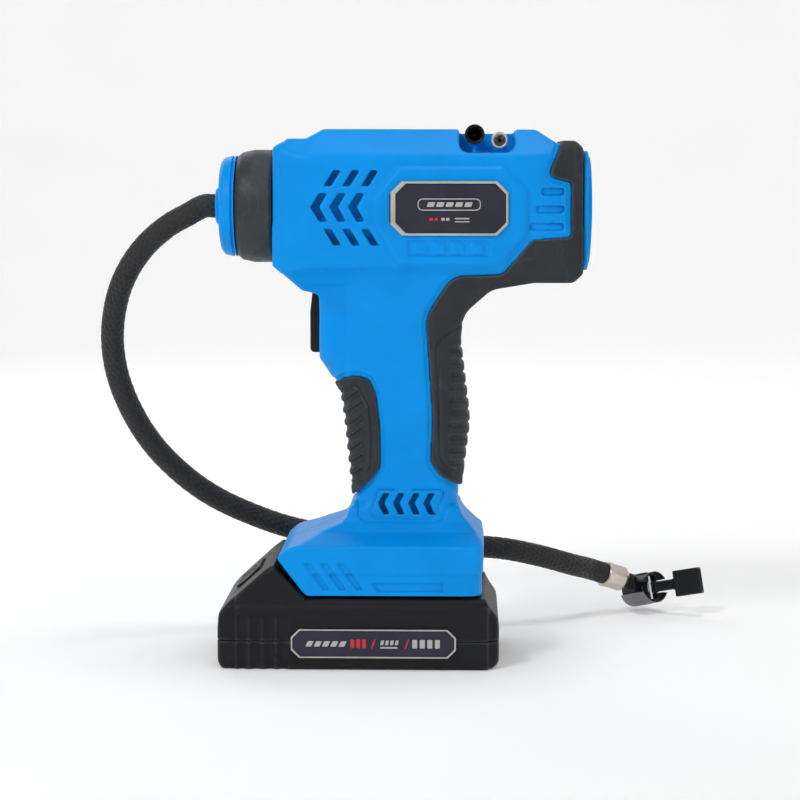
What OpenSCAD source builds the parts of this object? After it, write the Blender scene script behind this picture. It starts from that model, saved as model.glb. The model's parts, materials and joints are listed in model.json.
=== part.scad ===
// Cordless pistol-grip air pump: barrel with motor and piston compressor,
// hose with a lever chuck, and a slide-on battery pack.
// X runs from the hose end (-) to the rear cap (+), Y across, Z up.
// The origin is on the ground, under the middle of the grip.

/* [Body] */
// Height of the barrel's axis above the ground
axis_h = 190; // [158:1:228]
// Width of the barrel across its sides
head_w = 62; // [51:1:76]
// Distance from the grip's middle to the barrel's front ring
head_front = 52; // [50:1:63]
// Distance from the grip's middle to the barrel's rear end
head_rear = 75.5; // [74:0.5:91]
// Width of the grip across its sides
grip_w = 36; // [30:1:44]
// Width of the foot across its sides
foot_w = 72; // [66:1:88]
// Wall thickness of the moulded shells
wall = 2.5; // [2:0.1:3]
// Depth of the soft grip covers
cover_t = 1.6; // [1:0.1:2]
// Raised height of the boss that carries the side label
boss_t = 1.5; // [1:0.1:2]

/* [Motor] */
// Diameter of the motor can
motor_d = 36; // [30:0.5:40]
// Length of the motor can
motor_len = 50; // [40:1:51]
// Diameter of the motor shaft
shaft_d = 3.2; // [2:0.1:4]
// Diameter of the cooling fan
fan_d = 38; // [30:1:42]

/* [Compressor] */
// Bore of the cylinder
bore_d = 18; // [15:0.5:20]
// Stroke of the piston
stroke = 14; // [11:0.5:15]
// Distance from crank pin to piston crown at the rod
rod_len = 24; // [23:0.5:26]
// Teeth on the motor pinion
pinion_teeth = 9; // [9:1:10]
// Teeth on the crank gear
gear_teeth = 36; // [34:1:38]
// Gear module
gear_module = 0.7; // [0.6:0.05:0.75]

/* [Hose] */
// Outside diameter of the braided hose
hose_d = 10; // [8:0.5:12]
// Bore of the chuck's seal, for a car tyre valve
valve_d = 8; // [7.4:0.1:8.6]

/* [Trigger] */
// Travel of the trigger
trigger_travel = 5; // [3:0.5:5]
// Width of the trigger
trigger_w = 14.4; // [12:0.2:17]

/* [Battery] */
// Width of the battery pack
batt_w = 74; // [70:1:90]
// Height of the battery pack below the foot
batt_h = 30; // [29:1:36]
// Diameter of one cell
cell_d = 18.3; // [15:0.1:18.6]
// Length of one cell
cell_len = 65; // [54:1:66]
// Number of cells side by side
cell_count = 5; // [3:1:5]
// Travel of the release button
button_travel = 2.5; // [1.5:0.5:2.5]

/* [Fits] */
// Radial clearance of a turning or sliding fit
running_fit = 0.05; // [0.02:0.01:0.1]
// Gap between pieces that move past each other
slide_gap = 0.4; // [0.3:0.1:0.6]

/* [Hidden] */
$fn = 64;

azure = [0.0, 0.56, 0.91];
charcoal = [0.20, 0.21, 0.22];
coal = [0.07, 0.07, 0.08];
champagne = [0.70, 0.68, 0.64];
nickel = [0.72, 0.67, 0.60];
steel = [0.62, 0.63, 0.65];
navy = [0.10, 0.12, 0.20];

hz = axis_h;
fz = batt_h;                       // the foot stands on the battery pack
half_w = head_w / 2;
ring_r = 24;                       // front ring of the barrel
nose_r = 17;                       // tube under the collar
nose_len = 16;
cap_r = 21;
cap_len = 7;
flange_t = 2;
nose_x = -head_front - nose_len;
cap_x = nose_x - 0.05;
gland_x = cap_x - cap_len - flange_t;
joint_gap = 0.02;                  // hairline between the shell halves

// Pocket for the battery's rail, under the foot
rail_w = 28;
neck_w = 24;
rail_z = 4;
pocket_h = 16;
pocket_x = 27;
floor_h = pocket_h + wall;         // roof of the pocket

// Slots in the barrel's sides
slot_depth = 1.5;
duct_depth = 7.8;
duct_t = 1.5;

// Storage recess in the barrel's top
recess_x = [24.7, 47.8];
recess_z = hz + 22.1;
recess_y = 20;
nozzle_x = 31.1;
nozzle_z = hz + 29.7;
nozzle_r = 4.1;
adapter_x = 41.3;
adapter_z = hz + 27.3;
adapter_r = 3.5;

// Drive train, from the motor forward
plate_x = 11;
plate_t = 3;
motor_x = plate_x + plate_t;
can_t = 1.2;
pinion_r = pinion_teeth * gear_module / 2;
gear_r = gear_teeth * gear_module / 2;
gear_z = hz - pinion_r - gear_r;
gear_x = 4;
gear_t = 5;
crank_r = stroke / 2;
crank_pin_r = 2;
sleeve_t = 2;
sleeve_r = bore_d / 2 + sleeve_t;
cylinder_x = gear_x - 1 - sleeve_r;
rod_t = 3.7;
rod_z = gear_z + crank_r;          // big end at the top of the stroke
crown_z = rod_z + rod_len;
piston_t = 4;
sleeve_z = crown_z + 2.5 - 20;
sleeve_top = crown_z + 3.3;
head_t = 5.5;
outlet_r = 3;
tube_r = 3.5;
outlet_x = cylinder_x - sleeve_r - 7;

// Trigger
trigger_z = hz - 48;               // middle of the trigger
trigger_h = 26;
trigger_front = -37.5;
trigger_back = -22;
spring_r = 2.6;
switch_x = trigger_back + trigger_travel + 0.5;

// Battery
batt_wall = 2.2;
batt_split = 12;
cell_x = -56;
cell_pitch = cell_d + 0.7;
cell_z = batt_wall + 0.6 + cell_d / 2;
case_front = -75.5;
case_rear = 42.4;
button_at = [-63.25, 0, fz + 3.9];
button_tilt = -41.9;
slot_y = [-12, 0, 12];

function unit(v) = v / norm(v);
function at(p, i) = p[(i + len(p)) % len(p)];
function xy(p) = [p[0], p[1]];

// Moves every edge of a clockwise outline inward by d; each point is [x, y, radius]
function inset(p, d) = [
    for (i = [0:len(p) - 1])
        let (a = xy(at(p, i - 1)), b = xy(p[i]), c = xy(at(p, i + 1)),
             u = unit(b - a), v = unit(c - b),
             n = [u[1], -u[0]], m = [v[1], -v[0]], q = b + (n + m) * d / (1 + n * m))
        [q[0], q[1], p[i][2]]
];

// Replaces each corner by a smooth curve of the corner's radius
function rounded(p, steps = 4) = [
    for (i = [0:len(p) - 1])
        let (b = xy(p[i]), u = xy(at(p, i - 1)) - b, v = xy(at(p, i + 1)) - b,
             half = acos(max(-1, min(1, unit(u) * unit(v)))) / 2,
             t = min(p[i][2] / tan(half), 0.45 * min(norm(u), norm(v))))
        each [for (j = [0:steps]) let (s = j / steps)
            b + unit(u) * t * (1 - s) * (1 - s) + unit(v) * t * s * s]
];

function rectangle(x0, x1, y0, y1, r) = [[x0, y1, r], [x1, y1, r], [x1, y0, r], [x0, y0, r]];

// Height of a point of the grip: 0 at the foot, 1 under the trigger
function grip_z(t) = fz + 30 + t * (hz - 64 - fz - 30);

// Side outline of the whole housing, clockwise from the front ring's top
side_outline = [
    [-head_front, hz + ring_r, 0.4],
    [6.5 - head_front, hz + 28, 2],
    [14 - head_front, hz + 28, 3],
    [21 - head_front, hz + 32, 3],
    [head_rear - 19.5, hz + 31.7, 4],
    [head_rear - 12, hz + 26.7, 2],
    [head_rear - 3.5, hz + 26.7, 2.5],
    [head_rear, hz + 23.5, 1.5],
    [head_rear, hz - 26.5, 1.5],
    [head_rear - 4, hz - 30.5, 3],
    [head_rear - 20, hz - 30.5, 12],
    [38, hz - 33.5, 10],
    [26.4, hz - 44, 12],
    [25.2, hz - 55, 15],
    [29.4, grip_z(0.62), 40],
    [24.7, grip_z(0.06), 10],
    [35.5, fz + 22, 3],
    [35.5, fz, 0.5],
    [-37.5, fz, 0.5],
    [-50, fz + 16.5, 1.5],
    [-45, fz + 20.5, 3],
    [-31, fz + 26.5, 8],
    [-22.5, fz + 29.5, 5],
    [-19.5, grip_z(0.12), 6],
    [-22.7, grip_z(0.6), 30],
    [-24.5, grip_z(0.8), 12],
    [-33.5, hz - 63, 2.5],
    [-33, hz - 36, 2],
    [-40, hz - 34.3, 3],
    [6.4 - head_front, hz - 29, 2],
    [-head_front, hz - ring_r, 0.4]
];

// Area of the soft cover on the rear of the grip and barrel
rear_cover_area = [
    [head_rear + 9, hz + 40, 1], [head_rear + 9, hz - 60, 1], [44, hz - 60, 1],
    [44, grip_z(0.12), 1], [26, grip_z(0.2), 1], [13.4, grip_z(0.36), 6], [13.9, grip_z(0.65), 30],
    [11.2, hz - 45, 14], [22, hz - 28, 10], [42.5, hz - 27.4, 6],
    [head_rear - 21, hz - 13, 3], [head_rear - 5.1, hz - 12, 2], [head_rear - 5.1, hz + 10, 2],
    [head_rear - 14.7, hz + 12.5, 3], [head_rear - 9.4, hz + 26, 0], [head_rear - 9.4, hz + 40, 0]
];

// Area of the soft cover on the front of the grip
front_cover_area = [
    [-34, grip_z(0.885), 0], [-25, grip_z(0.885), 1], [-17, grip_z(0.925), 4],
    [-9.5, grip_z(0.82), 6], [-7.7, grip_z(0.5), 10], [-7.7, grip_z(0.32), 3],
    [-18.5, grip_z(0.145), 1], [-34, grip_z(0.145), 0]
];

module across(pts, w) { rotate([90, 0, 0]) linear_extrude(w, center = true) polygon(pts); }

module along(pts, x0, x1) { translate([x0, 0, 0]) rotate([90, 0, 90]) linear_extrude(x1 - x0) polygon(pts); }

module upright(pts, z0, z1) { translate([0, 0, z0]) linear_extrude(z1 - z0) polygon(pts); }

module block(x, y, z) { translate([x[0], y[0], z[0]]) cube([x[1] - x[0], y[1] - y[0], z[1] - z[0]]); }

// Cylinder along X, from x0 to x1, round the barrel's axis unless z says otherwise
module rod_x(x0, x1, r, z = hz) { translate([x0, 0, z]) rotate([0, 90, 0]) cylinder(r = r, h = x1 - x0); }

module rod_y(y0, y1, r, x, z) { translate([x, y1, z]) rotate([90, 0, 0]) cylinder(r = r, h = y1 - y0); }

// Turned piece round the barrel's axis: each point is [radius, x]
module turned(pts) { translate([0, 0, hz]) rotate([0, 90, 0]) rotate_extrude() polygon(pts); }

// ---- Housing ----

module barrel_volume(d) {
    w = half_w - d;
    top = hz + 33 - d;
    low = hz - 37 + d;
    intersection() {
        along([[-w, low + 14], [-w, top - 13], [13 - w, top], [w - 13, top],
               [w, top - 13], [w, low + 14], [w - 14, low], [14 - w, low]], -head_front, head_rear + 1);
        upright([[-head_front, d - ring_r], [16 - head_front, -w], [head_rear - 17, -w],
                 [head_rear, 4 - w], [head_rear, w - 4], [head_rear - 17, w],
                 [16 - head_front, w], [-head_front, ring_r - d]], low, top);
    }
}

module grip_volume(d) {
    g = grip_w / 2 - d;
    upright(rounded(rectangle(-26 + d, 32 - d, -g, g, 12)), fz + 16, hz - 12);
    upright(rounded(rectangle(-38 + d, 30 - d, 1 - g, g - 1, 8)), grip_z(0.75), hz - 14);
    upright(rounded(rectangle(d, 58 - d, -g - 3, g + 3, 14)), hz - 52 + d, hz - 20);
}

module foot_volume(d) {
    w = foot_w / 2 - d;
    g = grip_w / 2 - d;
    intersection() {
        along([[-w, fz - 1], [-w, fz + 21.6 - d], [12 - w, fz + 25.5 - d], [-g, fz + 33 - d],
               [g, fz + 33 - d], [w - 12, fz + 25.5 - d], [w, fz + 21.6 - d], [w, fz - 1]], -60, 40);
        upright(rounded(rectangle(-56, 35.5 - d, -w, w, 7)), fz - 1, fz + 40);
    }
}

// Outer form of the housing, moved inward by d
module form(d) {
    intersection() {
        across(rounded(inset(side_outline, d)), 200);
        union() {
            barrel_volume(d);
            grip_volume(d);
            foot_volume(d);
        }
    }
}

module label_octagon(x0, x1, z0, z1, c, y0, y1) {
    translate([0, y1, 0]) rotate([90, 0, 0]) linear_extrude(y1 - y0)
        polygon([[x0, z0 + c], [x0, z1 - c], [x0 + c, z1], [x1 - c, z1],
                 [x1, z1 - c], [x1, z0 + c], [x1 - c, z0], [x0 + c, z0]]);
}

// Screw places: [x, z, height of the head's seat above the joint plane]
screw_places = [
    [12, hz + 27, 19], [-43, hz - 18, 19], [head_rear - 11, hz - 25, 17],
    [2, hz - 68.5, 12], [2, grip_z(0.2), 12], [-30, fz + 21.6, 20], [27, fz + 21.6, 20]
];
screw_r = 1.4;
screw_head_r = 2.8;
screw_boss_r = 3.5;

module screw_bosses() {
    intersection() {
        form(0.6);
        for (s = screw_places) rod_y(-60, 60, screw_boss_r, s[0], s[1]);
    }
}

module screw_holes() {
    for (s = screw_places) {
        rod_y(-7.2, 60, screw_r + 0.1, s[0], s[1]);
        rod_y(s[2], 60, screw_head_r + 0.3, s[0], s[1]);
    }
}

module motor_ribs() {
    for (x = [motor_x + 6, motor_x + motor_len - 14])
        intersection() {
            form(0.6);
            block([x, x + 3], [-80, 80], [hz - 25, recess_z - 0.5]);
        }
}

// Ventilation slots: slanted bars above and below a row of chevrons
module side_vents() {
    for (i = [0:2]) {
        x = -35.7 + i * 7.75;
        across([[x + 5.4, hz + 8.7], [x + 9.4, hz + 15.1], [x + 12.5, hz + 15.1], [x + 8.5, hz + 8.7]], 200);
        across([[x, hz + 0.2], [x + 3.6, hz + 5.8], [x + 6.8, hz + 5.8], [x + 3.6, hz + 0.2],
                [x + 6.8, hz - 5.8], [x + 3.6, hz - 5.8]], 200);
        across([[x + 5.4, hz - 8.8], [x + 8.5, hz - 8.8], [x + 12.5, hz - 15.4], [x + 9.4, hz - 15.4]], 200);
    }
}

// Shallow slots beside the rear end of the label
module rear_slots() {
    difference() {
        for (i = [0:2])
            across(rounded(rectangle(head_rear - 17.3 - 2.4 * i, head_rear - 8,
                hz + 4.8 - 7.1 * i, hz + 7.9 - 7.1 * i, 1.5)), 200);
        form(slot_depth);
    }
}

// Inner walls that turn the side slots into shallow ducts
module ducts() {
    intersection() {
        form(0.6);
        for (d = [half_w - duct_depth, duct_depth - half_w])
            block([-40, -6], [d - duct_t / 2, d + duct_t / 2], [hz - 22, hz + 20]);
    }
}

// Trough for the stored adapters, open at the near side and on top
module recess() {
    intersection() {
        across(rounded([[recess_x[0], hz + 40, 0], [recess_x[1], hz + 40, 0],
                        [recess_x[1], recess_z, 4.5], [recess_x[0], recess_z, 4.5]]), 200);
        block([-80, 80], [-80, recess_y], [0, 400]);
    }
}

module cradles() {
    for (c = [[nozzle_x, nozzle_z - nozzle_r], [adapter_x, adapter_z - adapter_r]])
        block([c[0] - 0.8, c[0] + 0.8], [-16, 16], [recess_z - 1, c[1] - 0.3]);
}

module cavity() {
    difference() {
        form(wall);
        block([-80, 80], [-80, 80], [fz - 5, fz + floor_h]);
        block([recess_x[0] - wall, recess_x[1] + wall], [-80, 80], [recess_z - wall, hz + 60]);
    }
}

module battery_pocket() {
    block([-60, pocket_x], [-neck_w, neck_w], [fz - 1, fz + rail_z + 0.1]);
    block([-60, pocket_x], [-rail_w, rail_w], [fz + rail_z, fz + pocket_h]);
    block([pocket_x - 0.1, pocket_x + 4], [-20, 20], [fz + 3, fz + 15]);
}

module cover_zone(area, d) {
    difference() {
        across(rounded(area), 200);
        form(d);
    }
}

module housing() {
    difference() {
        union() {
            difference() {
                union() {
                    form(0);
                    for (s = [-1, 1])
                        label_octagon(-12, 53, hz - 22, hz + 17, 12,
                            s > 0 ? half_w - 2 : -half_w - boss_t, s > 0 ? half_w + boss_t : 2 - half_w);
                    rod_x(nose_x, 3 - head_front, nose_r);
                }
                cavity();
            }
            screw_bosses();
            motor_ribs();
            ducts();
        }
        rod_x(nose_x - 1, -head_front + 4, nose_r - wall - 0.5);
        rod_x(motor_x, motor_x + motor_len, motor_d / 2 + 0.15);
        rod_x(head_rear - wall - 1, head_rear + 1, fan_d / 2 + 1);
        block([trigger_front + 1, trigger_back], [-trigger_w / 2 - slide_gap, trigger_w / 2 + slide_gap],
            [trigger_z - trigger_h / 2 - slide_gap, trigger_z + trigger_h / 2 + slide_gap]);
        battery_pocket();
        recess();
        difference() {
            side_vents();
            form(duct_depth - 1);
        }
        rear_slots();
        screw_holes();
        cover_zone(rear_cover_area, cover_t);
        cover_zone(front_cover_area, cover_t);
    }
}

module housing_near() {
    color(azure) union() {
        intersection() {
            housing();
            block([-200, 200], [-80, -joint_gap / 2], [0, 400]);
        }
        intersection() {
            cradles();
            block([-200, 200], [-80, -joint_gap / 2], [0, 400]);
        }
    }
}

module housing_far() {
    color(azure) union() {
        intersection() {
            housing();
            block([-200, 200], [joint_gap / 2, 80], [0, 400]);
        }
        intersection() {
            cradles();
            block([-200, 200], [joint_gap / 2, 80], [0, 400]);
        }
    }
}

// Soft cover: fills its area down to cover_t below the form and stands a little proud
module cover(area) {
    difference() {
        intersection() {
            form(-0.5);
            across(rounded(inset(area, 0.05)), 200);
        }
        form(cover_t - 0.01);
    }
}

module rear_grip_cover() {
    color(charcoal) difference() {
        cover(rear_cover_area);
        block([head_rear, head_rear + 9], [-80, 80], [0, 400]);
        rod_x(head_rear - wall - 1, head_rear + 1, fan_d / 2 + 1);
        screw_holes();
    }
}

module front_grip_cover() { color(charcoal) cover(front_cover_area); }

module front_collar() {
    color(charcoal) turned([
        [nose_r + 0.05, nose_x + 0.4], [cap_r + 0.5, nose_x + 0.4],
        [ring_r - 0.5, -head_front - 0.3], [nose_r + 0.05, -head_front - 0.3]
    ]);
}

module front_cap() {
    color(azure) turned([
        [hose_d / 2 + 1.05, cap_x - cap_len], [cap_r - 1, cap_x - cap_len], [cap_r, cap_x - cap_len + 1],
        [cap_r, cap_x - 1.2], [cap_r - 0.8, cap_x - 1.2], [cap_r - 0.8, cap_x - 0.2], [cap_r, cap_x - 0.2],
        [cap_r, cap_x], [nose_r - wall - 0.6, cap_x], [nose_r - wall - 0.6, cap_x + 6],
        [hose_d / 2 + 1.05, cap_x + 6]
    ]);
}

module hose_gland() {
    color(azure) turned([
        [2, gland_x], [7.8, gland_x], [7.8, gland_x + flange_t - 0.05], [hose_d / 2 + 1, gland_x + flange_t - 0.05],
        [hose_d / 2 + 1, cap_x + 10], [2, cap_x + 10]
    ]);
}

module rear_cap() {
    x0 = head_rear + 0.1;
    w = half_w - 5.5;
    color(azure) difference() {
        union() {
            along(rounded([[-w, hz + 23, 9], [w, hz + 23, 9], [w, hz - 26, 9], [-w, hz - 26, 9]]), x0, x0 + 2);
            along(rounded([[-w + 2, hz + 21, 8], [w - 2, hz + 21, 8], [w - 2, hz - 24, 8], [-w + 2, hz - 24, 8]]),
                x0 + 2, x0 + 4);
        }
        for (i = [-3:3])
            block([x0 - 1, x0 + 5], [-half_w + 12, half_w - 12], [hz + i * 5.5 - 1.2, hz + i * 5.5 + 1.2]);
    }
}

label_x = [-3, 44.8];
label_z = [hz - 11.3, hz + 10.7];
label_y = -half_w - boss_t;

module label_frame() {
    color(champagne) difference() {
        label_octagon(label_x[0], label_x[1], label_z[0], label_z[1], 4.6, label_y - 1.4, label_y);
        label_octagon(label_x[0] + 1.4, label_x[1] - 1.4, label_z[0] + 1.4, label_z[1] - 1.4, 4, label_y - 5, label_y + 1);
    }
}

module label_plate() {
    color(navy) label_octagon(label_x[0] + 1.45, label_x[1] - 1.45, label_z[0] + 1.45, label_z[1] - 1.45, 4,
        label_y - 0.8, label_y);
}

module case_screws() {
    color(steel) for (s = screw_places) {
        rod_y(-7, s[2], screw_r, s[0], s[1]);
        difference() {
            rod_y(s[2], s[2] + 2.2, screw_head_r, s[0], s[1]);
            for (a = [0, 90])
                translate([s[0], s[2] + 2.2, s[1]]) rotate([0, a, 0]) cube([3.2, 1.8, 0.8], center = true);
        }
    }
}

// ---- Trigger and electrics ----

module trigger() {
    color(coal) difference() {
        across(rounded([
            [trigger_front + 1, trigger_z + trigger_h / 2, 1], [trigger_back, trigger_z + trigger_h / 2, 0.5],
            [trigger_back, trigger_z - trigger_h / 2, 0.5], [trigger_front, trigger_z - trigger_h / 2, 2],
            [trigger_front, trigger_z + 4, 12]
        ]), trigger_w);
        rod_x(trigger_back - 13, trigger_back + 1, spring_r + 0.7, trigger_z);
    }
}

// Coils of a compression spring, seated on its guide
module trigger_spring() {
    x1 = switch_x - 0.05;
    color(steel) for (i = [0:5])
        translate([x1 - 0.4 - i * 2.1, 0, trigger_z]) rotate([0, 90, 0])
            rotate_extrude() translate([spring_r - 0.35, 0]) circle(r = 0.35, $fn = 16);
}

module trigger_switch() {
    color(coal) union() {
        block([switch_x, 10], [-8, 8], [trigger_z - 12, trigger_z + 11]);
        rod_x(switch_x - 11, switch_x, 1.2, trigger_z);
        for (y = [-4, 4]) block([10, 14], [y - 0.4, y + 0.4], [trigger_z - 3, trigger_z + 3]);
    }
}

module control_board() {
    z0 = grip_z(0.36);
    z1 = grip_z(0.8);
    color([0.05, 0.30, 0.16]) union() {
        block([-12, 14], [1, 2.6], [z0, z1]);
        for (i = [0:2]) block([-9 + i * 7.5, -5 + i * 7.5], [-1.6, 1], [z1 - 10, z1 - 4]);
        rod_y(-8, 1, 4, -4, z0 + 8);
        block([3, 11], [-3, 1], [z0 + 3, z0 + 11]);
    }
}

module terminal_block() {
    color(coal) union() {
        block([pocket_x + 0.05, pocket_x + 3.9], [-19.9, 19.9], [fz + 3.1, fz + 14.9]);
        for (y = slot_y) block([9, pocket_x + 1], [y - 0.4, y + 0.4], [fz + 5, fz + 9]);
    }
}

// ---- Motor and compressor ----

module motor_can() {
    color(steel) turned([
        [shaft_d / 2 + 1.5, plate_x], [6.5, plate_x], [6.5, motor_x], [motor_d / 2, motor_x],
        [motor_d / 2, motor_x + motor_len], [motor_d / 2 - can_t, motor_x + motor_len],
        [motor_d / 2 - can_t, motor_x + can_t], [shaft_d / 2 + running_fit, motor_x + can_t],
        [shaft_d / 2 + running_fit, motor_x - 1], [shaft_d / 2 + 1.5, motor_x - 1]
    ]);
}

module motor_magnets() {
    color(coal) difference() {
        turned([
            [motor_d / 2 - can_t - 2, motor_x + 5], [motor_d / 2 - can_t - 0.02, motor_x + 5],
            [motor_d / 2 - can_t - 0.02, motor_x + motor_len - 8], [motor_d / 2 - can_t - 2, motor_x + motor_len - 8]
        ]);
        for (s = [-1, 1]) block([0, 90], [-6, 6], s > 0 ? [hz, hz + 30] : [hz - 30, hz]);
    }
}

module motor_rotor() {
    x1 = motor_x + motor_len;
    color([0.72, 0.42, 0.22]) turned([
        [0, gear_x - 0.5], [shaft_d / 2, gear_x - 0.5], [shaft_d / 2, motor_x + 8],
        [motor_d / 2 - can_t - 2.6, motor_x + 8], [motor_d / 2 - can_t - 2.6, x1 - 14],
        [shaft_d / 2 + 3, x1 - 14], [shaft_d / 2 + 3, x1 - 5], [shaft_d / 2, x1 - 5],
        [shaft_d / 2, x1 + 8], [0, x1 + 8]
    ]);
}

module motor_end_bell() {
    x1 = motor_x + motor_len;
    color(coal) turned([
        [shaft_d / 2 + running_fit, x1 - 3], [motor_d / 2 - can_t - 0.02, x1 - 3],
        [motor_d / 2 - can_t - 0.02, x1], [5, x1], [5, x1 + 1.5], [shaft_d / 2 + running_fit, x1 + 1.5]
    ]);
}

module cooling_fan() {
    x0 = motor_x + motor_len + 2.2;
    color(coal) union() {
        difference() {
            rod_x(x0, x0 + 5, 4.5);
            rod_x(x0 - 1, x0 + 6, shaft_d / 2);
        }
        for (i = [0:7])
            translate([x0 + 2.5, 0, hz]) rotate([i * 45, 0, 0]) translate([0, 0, fan_d / 4 + 1])
                rotate([0, 0, 35]) cube([1, 4.4, fan_d / 2 - 4], center = true);
    }
}

// Spur gear outline with plain, narrow teeth
function gear_outline(teeth, m) = [
    for (i = [0:teeth - 1]) let (a = 360 / teeth, r = teeth * m / 2)
        each [for (q = [[-0.30, -0.95], [-0.13, 0.6], [0.13, 0.6], [0.30, -0.95]])
            (r + q[1] * m) * [cos((i + q[0]) * a), sin((i + q[0]) * a)]]
];

module spur_gear(teeth, m, x0, x1, z, turn) {
    translate([x0, 0, z]) rotate([turn, 0, 0]) rotate([0, 90, 0])
        linear_extrude(x1 - x0) polygon(gear_outline(teeth, m));
}

module pinion() {
    color([0.80, 0.66, 0.36]) difference() {
        spur_gear(pinion_teeth, gear_module, gear_x - 0.4, plate_x - 0.5, hz, 0);
        rod_x(0, plate_x, shaft_d / 2);
    }
}

module crank_gear() {
    color([0.86, 0.85, 0.80]) difference() {
        union() {
            spur_gear(gear_teeth, gear_module, gear_x, gear_x + gear_t, gear_z, 180 / gear_teeth * (1 - gear_teeth % 2));
            rod_x(gear_x, plate_x - 0.4, 4, gear_z);
            rod_x(cylinder_x + rod_t / 2 + 1.6, gear_x + 0.1, crank_pin_r + 1.5, gear_z + crank_r);
            rod_x(cylinder_x + rod_t / 2 + 0.3, gear_x + 0.1, crank_pin_r, gear_z + crank_r);
        }
        rod_x(gear_x - 1, plate_x, 2 + running_fit, gear_z);
    }
}

module gear_axle() { color(steel) rod_x(gear_x + 0.2, motor_x - 0.1, 2, gear_z); }

module compressor_frame() {
    arm = sleeve_r + 1;
    w = motor_d / 2 + 1;
    color([0.66, 0.67, 0.68]) difference() {
        union() {
            block([plate_x, motor_x - 0.02], [-w, w], [hz - motor_d / 2 - 5, sleeve_top]);
            for (s = [-1, 1])
                block([cylinder_x, plate_x + 0.1], s > 0 ? [arm, arm + 4] : [-arm - 4, -arm], [sleeve_top - 12, sleeve_top - 4]);
            translate([cylinder_x, 0, sleeve_top - 12]) cylinder(r = arm + 3, h = 8);
        }
        translate([cylinder_x, 0, sleeve_z - 1]) cylinder(r = sleeve_r + 0.02, h = 60);
        block([gear_x - 0.9, plate_x], [-arm, arm], [sleeve_top - 20, sleeve_top]);
        rod_x(plate_x - 1, motor_x + 1, 6.52);
        rod_x(plate_x - 1, motor_x + 1, 2, gear_z);
    }
}

module cylinder_sleeve() {
    color(steel) translate([cylinder_x, 0, sleeve_z]) difference() {
        cylinder(r = sleeve_r, h = sleeve_top - sleeve_z);
        translate([0, 0, -1]) cylinder(r = bore_d / 2, h = 60);
    }
}

module piston_rod() {
    color([0.70, 0.71, 0.72]) difference() {
        union() {
            rod_x(cylinder_x - rod_t / 2, cylinder_x + rod_t / 2, 4.6, rod_z);
            block([cylinder_x - rod_t / 2, cylinder_x + rod_t / 2], [-3, 3], [rod_z + 3, crown_z - piston_t / 2]);
            translate([cylinder_x, 0, crown_z - piston_t / 2]) cylinder(r = bore_d / 2 - 0.6, h = piston_t);
        }
        rod_x(cylinder_x - 5, cylinder_x + 5, crank_pin_r + running_fit, rod_z);
        translate([cylinder_x, 0, crown_z - 0.8]) difference() {
            cylinder(r = bore_d / 2, h = 1.6);
            translate([0, 0, -1]) cylinder(r = bore_d / 2 - 2, h = 4);
        }
    }
}

module piston_ring() {
    color(coal) translate([cylinder_x, 0, crown_z - 0.75]) difference() {
        cylinder(r = bore_d / 2 - running_fit, h = 1.5);
        translate([0, 0, -1]) cylinder(r = bore_d / 2 - 1.95, h = 4);
    }
}

module cylinder_head() {
    z = sleeve_top + 0.02;
    color([0.66, 0.67, 0.68]) difference() {
        union() {
            translate([cylinder_x, 0, z]) cylinder(r = sleeve_r + 1.5, h = head_t);
            rod_x(outlet_x, cylinder_x - 4, outlet_r, z + outlet_r);
        }
        rod_x(outlet_x - 1, cylinder_x, 1.2, z + outlet_r);
        translate([cylinder_x, 0, z - 1]) cylinder(r = 1.2, h = 1 + outlet_r);
    }
}

// Ring of points round p, square to direction t
function ring(p, t, r, sides) = let (a = unit(cross(t, [0.1, 1, 0.05])), b = cross(t, a))
    [for (k = [0:sides - 1]) p + r * (cos(360 * k / sides) * a + sin(360 * k / sides) * b)];

function tangent(path, i) = unit(path[min(i + 1, len(path) - 1)] - path[max(i - 1, 0)]);

// Round tube swept through the points of path
module swept(path, r, sides = 10) {
    n = len(path);
    points = [for (i = [0:n - 1]) each ring(path[i], tangent(path, i), r, sides)];
    faces = [
        [for (k = [0:sides - 1]) k],
        [for (k = [sides - 1:-1:0]) (n - 1) * sides + k],
        for (i = [0:n - 2], k = [0:sides - 1]) let (m = (k + 1) % sides)
            each [[i * sides + k, (i + 1) * sides + k, (i + 1) * sides + m],
                  [i * sides + k, (i + 1) * sides + m, i * sides + m]]
    ];
    polyhedron(points = points, faces = faces);
}

// Inner air line from the cylinder head to the gland
module outlet_tube() {
    z = sleeve_top + outlet_r;
    x1 = cap_x + 10.02;
    straight = 2;
    span = outlet_x - x1 - 2 * straight;
    path = [
        [outlet_x - 0.02, 0, z],
        for (i = [0:8]) let (s = i / 8, e = s * s * (3 - 2 * s))
            [outlet_x - straight - span * s, 0, z + (hz - z) * e],
        [x1, 0, hz]
    ];
    color(coal) swept(path, tube_r);
}

// ---- Stored adapters ----

module plastic_nozzle() {
    color(coal) translate([nozzle_x, 19, nozzle_z]) rotate([90, 0, 0]) rotate_extrude()
        polygon([[1.4, 0], [2.2, 0], [2.6, 14], [3.2, 15], [3.2, 22], [nozzle_r, 23], [nozzle_r, 38],
                 [2.9, 38], [2.9, 28], [1.4, 27]]);
}

module needle_adapter() {
    color(nickel) translate([adapter_x, 18, adapter_z]) rotate([90, 0, 0]) rotate_extrude()
        polygon([[0.5, 0], [0.9, 0], [0.9, 18], [2.4, 19], [2.4, 27], [adapter_r, 28], [adapter_r, 36],
                 [2.3, 36], [2.3, 30], [0.5, 29]]);
}

// ---- Battery pack ----

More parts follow.
